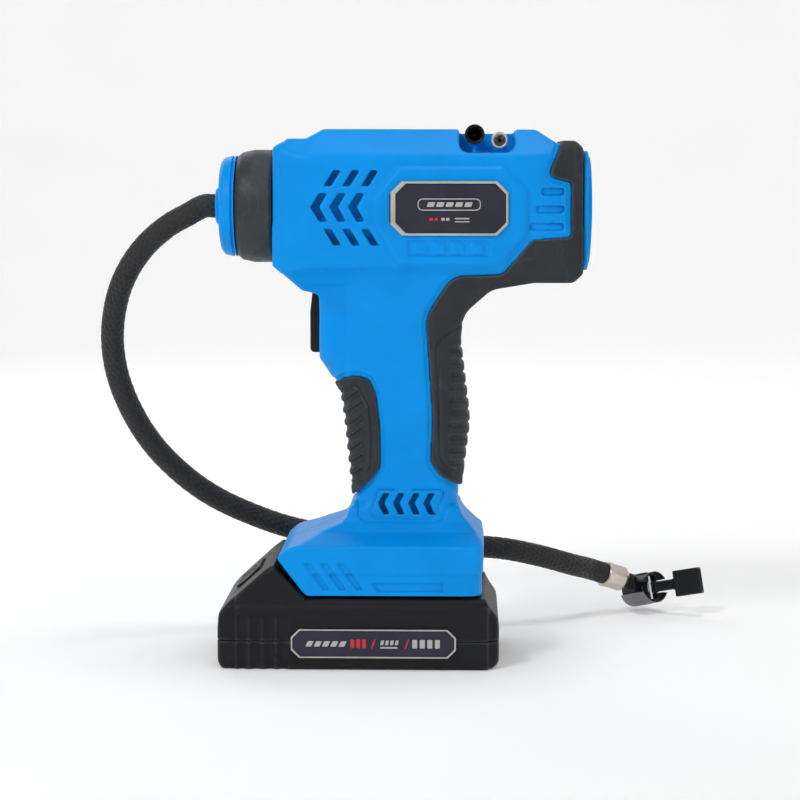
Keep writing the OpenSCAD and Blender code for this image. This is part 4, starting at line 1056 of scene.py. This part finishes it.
def label_boss(g, sign):
    """Raised boss round the side label, with a sunk panel of four bars below it."""
    boss = both((g.side(LABEL_BOSS) + (np.abs(g.y) - HALF_BARREL) * 1.1) * 0.67, np.abs(g.y) - BOSS_Y, 0.5)
    boss = both(boss, g.slab("y", *sorted((sign * 40, sign * (HALF_BARREL - 3)))))
    panel = g.side(rectangle(3.7, 37.3, AXIS_Z - 20, AXIS_Z - 13.1, 1.6))
    bars = lowest(g.side(rectangle(x - 2.6, x + 2.6, AXIS_Z - 18.4, AXIS_Z - 14.7, 0.6))
                  for x in (8.9, 16.6, 24.3, 32.0))
    return boss + 0.7 * (1 - ramp(panel, -0.45, 0.35)) * ramp(bars, -0.35, 0.45)


def hollow(g, form, outer):
    """The housing's walls, with the posts, inner walls and motor cradles inside them."""
    # the cavity leaves a roofed pocket for the battery rail and a floor under the stored adapters
    cavity = both(form + WALL, FOOT_Z + 18.5 - g.z)
    cavity = without(cavity, both(both(g.slab("x", 22.2, 50.3), AXIS_Z + 19.6 - g.z), g.y - 30))
    shell = without(outer, cavity)
    shell = either(shell, both(lowest(g.rod("y", SCREW_POST, x, z) for x, z, _ in SCREWS), form + SKIN))
    shell = either(shell, ducts(g, form))
    for x in (CAN_LOW[0] + 10, CAN_HIGH[0] - 14):
        cradle = both(both(form + SKIN, g.slab("x", x, x + 3)), g.slab("z", AXIS_Z - 25, AXIS_Z + 21.6))
        shell = either(shell, cradle)
    return shell


def opened(g, shell):
    """The housing with its bores, trigger hole, rail pocket and the trough for the adapters."""
    for radius, start, end in ((14, RING_X - 20, RING_X + 4), (18.2, 14, CAN_HIGH[0]),
                               (REAR_BORE, REAR_X - WALL - 1, REAR_X + 1)):
        shell = without(shell, both(g.rod("x", radius, 0, AXIS_Z), g.slab("x", start, end)))
    shell = without(shell, g.block((TRIGGER_LOW[0] - 4, TRIGGER_HIGH[0]), (-7.7, 7.7),
                                   (TRIGGER_LOW[2] - 0.45, TRIGGER_HIGH[2] + 0.45)), 0.5)
    for x, half, low, high in (((-70, 27), 24, -1, 4.1), ((-70, 27), 28, 4, 16), ((26.9, 31), 20, 3, 15)):
        shell = without(shell, g.block(x, (-half, half), (FOOT_Z + low, FOOT_Z + high)))
    trough = g.side(outline([(24.7, 240, 0.2), (47.8, 240, 0.2), (47.8, AXIS_Z + 22.1, 4.5),
                             (24.7, AXIS_Z + 22.1, 4.5)]))
    shell = without(shell, both(trough, g.y - 20, 0.8), 0.5)
    for x, z in ((31.1, AXIS_Z + 25.3), (41.3, AXIS_Z + 23.6)):
        rest = g.block((x - 0.9, x + 0.9), (-16, 16), (AXIS_Z + 21, z), 0.3)
        shell = either(shell, both(rest, g.slab("y", -16, 16)), 0.4)
    return shell


class PUMP_OT_housing(bpy.types.Operator):
    """Builds the two moulded halves of the housing."""
    bl_idname = "pump.housing"
    bl_label = "Housing halves"

    def execute(self, context):
        step = sizes().fineness / MM
        for name, node, sign in (("housing_near_moulded", "housing_near", -1),
                                 ("housing_far_moulded", "housing_far", 1)):
            y0, y1 = (-HALF_FOOT, 0) if sign < 0 else (0, HALF_FOOT)
            g = Region((RING_X - 16, y0, FOOT_Z), (REAR_X, y1, AXIS_Z + 34), step)
            form = housing_form(g)[0]
            outer = either(form + shallow(g), label_boss(g, sign), 0.3)
            nose = both(g.rod("x", 17, 0, AXIS_Z), g.slab("x", RING_X - 16, RING_X + 3), 0.4)
            shell = opened(g, hollow(g, form, either(outer, nose)))
            shell = without(shell, both(vents(g), -form - 6), 0.25)
            shell = without(shell, both(rear_slots(g), -form - 1.5), 0.4)
            for x, z, seat in SCREWS:
                shank = g.rod("y", SCREW_SHANK, x, z)
                if sign > 0:
                    shell = without(shell, both(g.rod("y", SCREW_HEAD, x, z), seat - g.y), 0.2)
                else:
                    shank = both(shank, -7.2 - g.y)
                shell = without(shell, shank)
            for points in (REAR_COVER, FRONT_COVER):
                shell = without(shell, both(g.side(points), -form - COVER_DEPTH))
            solid(name, g, both(shell, -sign * g.y + 0.01, 0.35), "tool", "azure_plastic", [node])
        return {"FINISHED"}


def soft_cover(g, area, pad, ribs, deep, start, fade):
    """A soft cover over the housing: a line round its pad, and ribs that fade out towards the line."""
    s = sizes()
    form = housing_form(g)[0]
    pad = g.side(pad)
    carve = s.groove_depth / MM * 1.3 * (1 - ramp(np.abs(pad + 0.2) - 0.35, -0.4, 0.4))
    carve = carve + deep * (1 - ramp(ribs, start, 0.25)) * ramp(-pad, *fade)
    cover = both(form - s.cover_stand / MM + carve, g.side(area) + 0.15, 0.7)
    return both(cover, -form - COVER_DEPTH + 0.06)


class PUMP_OT_covers(bpy.types.Operator):
    """Builds the two soft grip covers with their ribs."""
    bl_idname = "pump.covers"
    bl_label = "Grip covers"

    def execute(self, context):
        s = sizes()
        g = Region((8, -HALF_BARREL - 1, 66), (REAR_X + 0.5, HALF_BARREL + 1, AXIS_Z + 28), COVER_STEP)
        z = 83.5 + s.rib_pitch / MM * np.arange(s.rib_count)
        ribs = g.bars([(21.2 + 0.9 * math.sin((v - 83) / 20), v) for v in z], [(48, v) for v in z], 1.35)
        cover = soft_cover(g, REAR_COVER, REAR_PAD, ribs, 0.85, -0.5, (0.8, 1.4))
        cover = both(cover, g.x - REAR_X, 0.3)
        bore = both(g.rod("x", REAR_BORE, 0, AXIS_Z), g.slab("x", REAR_X - 4, REAR_X + 2))
        cover = without(cover, bore, 0.3)
        for x, z, _ in SCREWS:
            cover = without(cover, both(g.rod("y", SCREW_HEAD, x, z), 5 - g.y), 0.2)
        solid("rear_cover_moulded", g, cover, "tool", "charcoal_rubber", ["rear_grip_cover"])

        g = Region((-27, -19.5, 66), (-6, 19.5, grip_z(0.94)), FRONT_COVER_STEP)
        z = 64.0 + 5.6 * np.arange(9)
        ribs = g.bars([(-32, v - 2) for v in z], [(-15.4, v + 10.6) for v in z], 1.25)
        cover = soft_cover(g, FRONT_COVER, FRONT_PAD, ribs, 0.8, -0.45, (0.6, 1.2))
        solid("front_cover_moulded", g, cover, "tool", "charcoal_rubber", ["front_grip_cover"])
        return {"FINISHED"}


class PUMP_OT_front_end(bpy.types.Operator):
    """Turns the rubber collar, the front cap and the hose gland."""
    bl_idname = "pump.front_end"
    bl_label = "Front end"

    def execute(self, context):
        centre = (0.0, AXIS_Z)
        x0, x1 = COLLAR_LOW[0], COLLAR_HIGH[0]
        turned("front_collar_moulded", outline([
            (17.05, x0, 0.2), (20.7, x0, 0.5), (22.4, x0 + 1.8, 1.4), (23.5, x0 + 7, 8),
            (23.45, x1 - 1.2, 0.8), (22.9, x1, 0.4), (17.05, x1, 0.2)], 8),
            "tool", "charcoal_rubber", ["front_collar"], centre, steps=160, finish="collar_rubber")
        x0, x1, r = CAP_LOW[0], CAP_HIGH[0] - 6, 21.0
        turned("front_cap_moulded", outline([
            (6.05, x0, 0.2), (9.5, x0, 0.4), (10.1, x0 + 0.7, 0.3), (12.0, x0 + 0.7, 0.3), (12.6, x0, 0.4),
            (18.6, x0 + 0.5, 3.0), (20.3, x0 + 2.1, 0.8), (r, x0 + 5.0, 1.0), (r, x1 - 1.5, 0.25),
            (r - 0.8, x1 - 1.3, 0.15), (r - 0.8, x1 - 0.75, 0.15), (r, x1 - 0.6, 0.2), (r, x1 - 0.02, 0.15),
            (14.0, x1 - 0.02, 0.2), (13.9, x1 + 6, 0.2), (6.05, x1 + 6, 0.2)], 6),
            "tool", "azure_plastic", ["front_cap"], centre, steps=160)
        x0 = GLAND_LOW[0]
        turned("hose_gland_moulded", outline([
            (5.02, x0, 0.2), (6.9, x0, 0.5), (7.8, x0 + 0.8, 0.4), (7.8, x0 + 1.92, 0.2),
            (6.0, x0 + 1.95, 0.1), (6.0, x0 + 17, 0.2), (2.05, x0 + 17, 0.2),
            (2.05, x0 + 0.05, 0.1), (5.0, x0 + 0.05, 0.05)], 4),
            "tool", "azure_plastic", ["hose_gland"], centre)
        return {"FINISHED"}


class PUMP_OT_rear_cap(bpy.types.Operator):
    """Builds the stepped rear cap with its air slots."""
    bl_idname = "pump.rear_cap"
    bl_label = "Rear cap"

    def execute(self, context):
        g = Region(REAR_LOW, REAR_HIGH, CAP_STEP)
        w, x0, inset = REAR_HIGH[1], REAR_LOW[0], 2.2
        z0, z1 = REAR_LOW[2], REAR_HIGH[2]
        base = both(g.end(rectangle(-w, w, z0, z1, 9)), g.slab("x", x0, x0 + 2), 0.7)
        crown = 4.0 - 1.4 * ((g.z - AXIS_Z) / 26) ** 2 - 0.5 * (g.y / 25) ** 2
        top = both(g.end(rectangle(inset - w, w - inset, z0 + inset, z1 - inset, 8)), g.x - x0 - crown, 1.0)
        cap = either(base, both(top, x0 + 0.3 - g.x), 0.4)
        slots = lowest(g.end(rectangle(-19, 19, AXIS_Z + i * 5.5 - 1.2, AXIS_Z + i * 5.5 + 1.2, 1.15))
                       for i in range(-3, 4))
        solid("rear_cap_moulded", g, without(cap, slots, 0.4), "tool", "azure_plastic", ["rear_cap"])
        return {"FINISHED"}


def label(name, rim, cut, marks, body, nodes, thick_left=0.0, reach_left=0.0):
    """A framed label: rim, film and raised marks. Marks are (outline, "red", "white" or "pill")."""
    spread = 0.35
    low, high = node_box(nodes[0])
    g = Region(low, high, 0.3)
    inner_cut = cut - rim * 0.4
    outer = both(g.side(octagon(low[0], high[0], low[2], high[2], cut)), g.slab("y", low[1], high[1]), 0.3)
    hole = g.side(octagon(low[0] + rim + thick_left, high[0] - rim, low[2] + rim, high[2] - rim, inner_cut))
    solid(name + "_frame_cast", g, without(outer, hole, 0.25), body, "champagne_frame", [nodes[0]], angle=35)

    (x0, face, z0), (x1, back, z1) = node_box(nodes[1])
    x0, x1, z0, z1 = x0 - spread - reach_left, x1 + spread, z0 - spread, z1 + spread
    g = Region((x0, face - 0.3, z0), (x1, back, z1), 0.25)
    plate = both(g.side(octagon(x0, x1, z0, z1, inner_cut)), g.slab("y", face, back), 0.1)
    solid(name + "_film", g, plate, body, "label_film", [nodes[1]], angle=35)
    for kind in ("white", "red"):
        fields = [g.side(points) for points, tint in marks if tint == kind]
        if kind == "white":
            fields += [np.abs(g.side(points)) - 0.22 for points, tint in marks if tint == "pill"]
        raised = both(lowest(fields), g.slab("y", face - 0.28, face + 0.2), 0.08)
        solid(f"{name}_marks_{kind}", g, raised, body, "label_film", angle=35, finish="mark_" + kind)


def bar_row(tint, count, pitch, x, z, width, height, lean=0.0):
    """Marks of one tint, a pitch apart."""
    return [(slant(x + i * pitch, z, width, height, lean), tint) for i in range(count)]


class PUMP_OT_labels(bpy.types.Operator):
    """Builds the framed labels on the barrel and on the battery."""
    bl_idname = "pump.labels"
    bl_label = "Labels"

    def execute(self, context):
        low = node_box("label_frame")[0]
        x, z = low[0] + 6.2, low[2]
        marks = bar_row("white", 5, 3.8, x + 8.4, z + 11.6, 2.9, 1.9, 0.35)
        marks += bar_row("red", 2, 2.1, x + 9.6, z + 6.0, 1.4, 1.2)
        marks += bar_row("white", 2, 1.9, x + 14.4, z + 6.0, 1.4, 1.2)
        marks += bar_row("white", 1, 0, x + 19.9, z + 6.6, 6.0, 0.6)
        marks += bar_row("white", 1, 0, x + 19.9, z + 5.4, 6.0, 0.45)
        marks += [(rectangle(x + 5.0, x + 30.2, z + 10.3, z + 14.8, 2.2), "pill")]
        label("side_label", 1.05, 4.6, marks, "tool", ("label_frame", "label_plate"), 1.0, 1.6)
        low = node_box("battery_label_frame")[0]
        x, z = low[0], low[2] + 3.9
        marks = bar_row("white", 5, 3.4, x + 6, z + 0.9, 2.4, 2.3, 0.5)
        marks += bar_row("white", 4, 2.0, x + 36.8, z + 1.6, 1.3, 2.0, 0.2)
        marks += bar_row("white", 1, 0, x + 36.8, z + 0.2, 7.2, 0.7)
        marks += bar_row("white", 4, 3.1, x + 50.0, z + 0.3, 2.1, 3.6)
        marks += bar_row("red", 3, 2.4, x + 24.6, z + 0.3, 1.6, 3.7)
        marks += bar_row("red", 1, 0, x + 33.0, z + 0.2, 0.7, 3.8, 0.35)
        marks += bar_row("red", 1, 0, x + 46.8, z + 0.2, 0.7, 3.8, 0.35)
        label("battery_label", 0.75, 3.4, marks, "battery", ("battery_label_frame", "battery_label_plate"))
        return {"FINISHED"}


class PUMP_OT_trigger(bpy.types.Operator):
    """Builds the trigger."""
    bl_idname = "pump.trigger"
    bl_label = "Trigger"

    def execute(self, context):
        (front, _, bottom), (rear, half, top) = TRIGGER_LOW, TRIGGER_HIGH
        g = Region(TRIGGER_LOW, TRIGGER_HIGH, sizes().small_fineness / MM)
        mid = (bottom + top) / 2
        profile = g.side(outline([(front + 1.0, top, 1.2), (rear, top, 0.4), (rear, bottom, 0.4),
                                  (front, bottom, 2.0), (front, mid + 4, 12)]))
        body = both(profile, np.abs(g.y) - half, 1.6)
        groove = 1 - ramp(np.abs(np.abs(g.y) - half + 2.2) - 0.2, -0.3, 0.3)
        body = body + 0.35 * groove * ramp(-g.x, -front - 4, -front - 2)
        body = without(body, both(g.rod("x", 3.3, 0, mid), g.slab("x", rear - 13, rear + 1)), 0.2)
        solid("trigger_moulded", g, body, "trigger", "black_plastic", ["trigger"])
        return {"FINISHED"}


def stored_adapter(name, node, slot, head, thread, tail):
    """An adapter from its (radius, distance below the top, rounding), with a thread inside its foot."""
    low, high = node_box(node)
    top = high[1]
    radius, drop, start, pitch, count, rounding = thread
    profile = [(r, top - down, c) for r, down, c in head]
    profile += [(radius - drop * (k % 2), top - start + k * pitch, rounding) for k in range(count)]
    profile += [(r, top - down, c) for r, down, c in tail]
    turned(name, outline(profile, 4), node, slot, [node],
           ((low[0] + high[0]) / 2, (low[2] + high[2]) / 2), "y", 64)


class PUMP_OT_adapters(bpy.types.Operator):
    """Turns the two adapters that are stored in the top of the housing."""
    bl_idname = "pump.adapters"
    bl_label = "Stored adapters"

    def execute(self, context):
        stored_adapter(
            "plastic_nozzle_turned", "plastic_nozzle", "black_plastic",
            [(0.4, 0, 0.1), (2.2, 0, 0.3), (2.6, 14, 0.6), (3.2, 15, 0.5), (3.2, 22, 0.3), (4.08, 22.8, 0.4),
             (4.08, 27, 0.2), (3.75, 27.3, 0.2), (3.75, 28, 0.2), (4.08, 28.3, 0.2), (4.08, 38, 0.5),
             (3.5, 38, 0.2), (3.5, 37.2, 0.2), (2.9, 37, 0.2)],
            (2.95, 0.4, 36.2, 0.55, 14, 0.1), [(2.9, 28, 0.3), (1.4, 27, 0.3), (0.4, 20, 0.1)])
        stored_adapter(
            "needle_adapter_turned", "needle_adapter", "nickel",
            [(0.3, 0, 0.1), (0.9, 0, 0.3), (0.9, 18, 0.3), (2.4, 19, 0.6), (2.4, 27, 0.3), (3.48, 27.8, 0.4),
             (3.48, 36, 0.4), (2.5, 36, 0.2)],
            (2.45, 0.35, 35.4, 0.5, 10, 0.08), [(2.3, 30, 0.3), (0.8, 29, 0.2), (0.3, 20, 0.1)])
        return {"FINISHED"}


def case_form(g):
    """Outer form of the battery pack."""
    x0, x1, w, f = BASE_LOW[0], BASE_HIGH[0], BASE_HIGH[1], FOOT_Z
    side = g.side(outline([
        (x0, f - 13, 2), (x0 + 1, f - 7.2, 2), (-70.5, f - 2.6, 3), (-56, f + 10.4, 2), (-51.6, f + 13.6, 1),
        (-37.9, f - 0.4, 1.5), (36, f - 0.4, 1), (38.5, f - 4.8, 2), (41.6, f - 9, 2), (x1, f - 13, 2),
        (x1, 3, 2), (38.5, 0, 2), (-73, 0, 3), (x0, 3, 3)]))
    # the front and rear blocks stand in from the middle of the sides
    half = w - 1.6 * ramp(-g.x, 66.4, 67.6) - 3.0 * ramp(g.x, 36.6, 38.2) - 1.2 * ramp(g.z, 26.3, 27.3)
    flutes = np.zeros_like(g.x)
    for i in range(4):
        flutes = np.maximum(flutes, 1.4 * (1 - ((g.x + 64.2 - i * 5.6) / 2.5) ** 2))
    half = half - flutes * ramp(-g.z, -23.2, -22.2)
    return both(both(side, np.abs(g.y) - half, 2.2), g.plan(rectangle(x0, x1, -w, w, 7)), 2.2)


def button_well(g, shell, form):
    """The battery's case with the release button's pocket, and a line round it."""
    c, s = math.cos(math.radians(BUTTON_TILT)), math.sin(math.radians(BUTTON_TILT))
    dx, dz = g.x - BUTTON_X, g.z - FOOT_Z - 3.9
    u, v = dx * c + dz * s, -dx * s + dz * c
    well = both(both(np.abs(u) - 8.8, np.abs(g.y) - 15), np.abs(v + 4.8) - 4.8)
    shell = either(shell, both(well, form + 0.5))
    shell = without(shell, both(both(np.abs(u) - 6.8, np.abs(g.y) - 13, 1.0), np.abs(v) - 8), 0.4)
    rim = np.abs(both(np.abs(u) - 9.4, np.abs(g.y) - 17, 2.0)) - 0.35
    return without(shell, both(rim, np.abs(v) - 0.5), 0.2)


class PUMP_OT_battery(bpy.types.Operator):
    """Builds the battery pack's two cases and its release button."""
    bl_idname = "pump.battery"
    bl_label = "Battery pack"

    def execute(self, context):
        self.top_case()
        self.bottom_case()
        b = Region((-6.4, -12.6, -3), (6.4, 12.6, 1.2), 0.35)
        dish = 1.2 - 0.35 * (1 - (b.x / 6.4) ** 2)
        button = both(b.slab("x", -6.4, 6.4), b.slab("y", -12.6, 12.6), 1.2)
        button = both(both(button, b.z - dish, 0.4), -3 - b.z)
        for i in range(-2, 3):
            bar = both(b.slab("x", i * 2.1 - 0.55, i * 2.1 + 0.55), b.slab("y", -9, 9), 0.5)
            button = without(button, both(bar, 0.35 - b.z), 0.2)
        solid("release_button_moulded", b, button, "release_button", "black_plastic", ["release_button"],
              place=Matrix.Translation((BUTTON_X, 0, BUTTON_Z)) @ turn(-BUTTON_TILT, "Y"))
        return {"FINISHED"}

    def top_case(self):
        f, w = FOOT_Z, BASE_HIGH[1]
        g = Region((BASE_LOW[0], -w, PACK_SPLIT), (BASE_HIGH[0], w, f + 14), PACK_STEP)
        form = case_form(g)
        cavity = both(both(form + PACK_WALL, g.z - (f - 2.6)), -70 - g.x)
        shell = both(without(form, cavity), PACK_SPLIT + 0.02 - g.z, 0.3)
        rail = either(g.block((-49, 26.6), (-23.6, 23.6), (f - 3.5, f + 4.5)),
                      g.block((-49, 26.6), (-27.6, 27.6), (f + 4.4, f + 10), 0.4))
        rail = both(rail, g.side([(-44, f - 3), (-53.5, f + 12), (60, f + 12), (60, f - 3)]))
        contacts = [g.block((5, 40), (y - 1.6, y + 1.6), (f + 3, f + 14)) for y in (-12, 0, 12)]
        shell = button_well(g, either(shell, rail), form)
        for slot in contacts:
            shell = without(shell, slot, 0.2)
        for x, y in PACK_SCREWS:
            shell = either(shell, both(g.rod("z", 3.2, x, y), g.slab("z", PACK_SPLIT + 0.02, PACK_SPLIT + 10)))
        for x, y in PACK_SCREWS:
            shell = without(shell, both(g.rod("z", 1.3, x, y), g.z - PACK_SPLIT - 6))
        shell = either(np.maximum(shell, form), both(rail, f - 0.5 - g.z))
        for slot in contacts:
            shell = without(shell, slot, 0.2)
        solid("battery_case_top_moulded", g, shell, "battery", "black_plastic", ["battery_case_top"])

    def bottom_case(self):
        w = BASE_HIGH[1]
        g = Region((BASE_LOW[0], -w, 0), (BASE_HIGH[0], w, PACK_SPLIT), PACK_STEP)
        form = case_form(g)
        shell = without(form, both(form + PACK_WALL, -70 - g.x))
        shell = both(shell, g.z - PACK_SPLIT, 0.3)
        for x, y in PACK_SCREWS:
            shell = either(shell, both(g.rod("z", 3.2, x, y), g.slab("z", 1, PACK_SPLIT)))
        for x, y in PACK_SCREWS:
            shell = without(shell, g.rod("z", 1.3, x, y))
            shell = without(shell, both(g.rod("z", 2.6, x, y), g.z - 3), 0.2)
        slash = lowest([g.side(slant(-47.4, 3.8, 1.2, 3.0, -1.3)), g.side(slant(24.4, 4.0, 1.2, 2.4, 0.9))])
        shell = shell + 0.5 * (1 - ramp(slash, -0.3, 0.3)) * ramp(np.abs(g.y) - w, -2.6, -1.6)
        solid("battery_case_bottom_moulded", g, shell, "battery", "black_plastic", ["battery_case_bottom"])


class PUMP_OT_inner_parts(bpy.types.Operator):
    """Gives every carried-over node the finish of its material slot."""
    bl_idname = "pump.inner_parts"
    bl_label = "Inner parts"

    def execute(self, context):
        finishes = {part["node"]: part["material_slot"] for part in frame["record"]["subparts"]}
        finishes["chuck_pin"] = "chrome"
        for name, node in frame["nodes"].items():
            node.data.materials.clear()
            node.data.materials.append(MATERIALS[finishes[name]])
        return {"FINISHED"}


class PUMP_PT_panel(bpy.types.Panel):
    """Lists the pump's pieces and settings"""
    bl_label = "Air Pump"
    bl_idname = "PUMP_PT_panel"
    bl_space_type = "VIEW_3D"
    bl_region_type = "UI"
    bl_category = "Air Pump"

    def draw(self, context):
        for operator in OPERATORS:
            self.layout.operator(operator.bl_idname)
        for group in (context.scene.pump_sizes, context.scene.pump_colours, context.scene.pump_stage):
            box = self.layout.box()
            for name in group.bl_rna.properties.keys():
                if name not in ("rna_type", "name"):
                    box.prop(group, name)


OPERATORS = [PUMP_OT_stage, PUMP_OT_chuck, PUMP_OT_hose, PUMP_OT_front_end, PUMP_OT_rear_cap, PUMP_OT_labels,
             PUMP_OT_trigger, PUMP_OT_adapters, PUMP_OT_battery, PUMP_OT_covers, PUMP_OT_housing,
             PUMP_OT_inner_parts]
CLASSES = [PumpSizes, PumpColours, PumpStage] + OPERATORS + [PUMP_PT_panel]


def register():
    for cls in CLASSES:
        bpy.utils.register_class(cls)
    bpy.types.Scene.pump_sizes = PointerProperty(type=PumpSizes)
    bpy.types.Scene.pump_colours = PointerProperty(type=PumpColours)
    bpy.types.Scene.pump_stage = PointerProperty(type=PumpStage)


def unregister():
    for name in ("pump_sizes", "pump_colours", "pump_stage"):
        delattr(bpy.types.Scene, name)
    for cls in reversed(CLASSES):
        bpy.utils.unregister_class(cls)


def main():
    register()
    make_materials()
    for operator in OPERATORS:
        group, name = operator.bl_idname.split(".")
        getattr(getattr(bpy.ops, group), name)()
    bpy.context.view_layer.update()


if __name__ == "__main__":
    main()
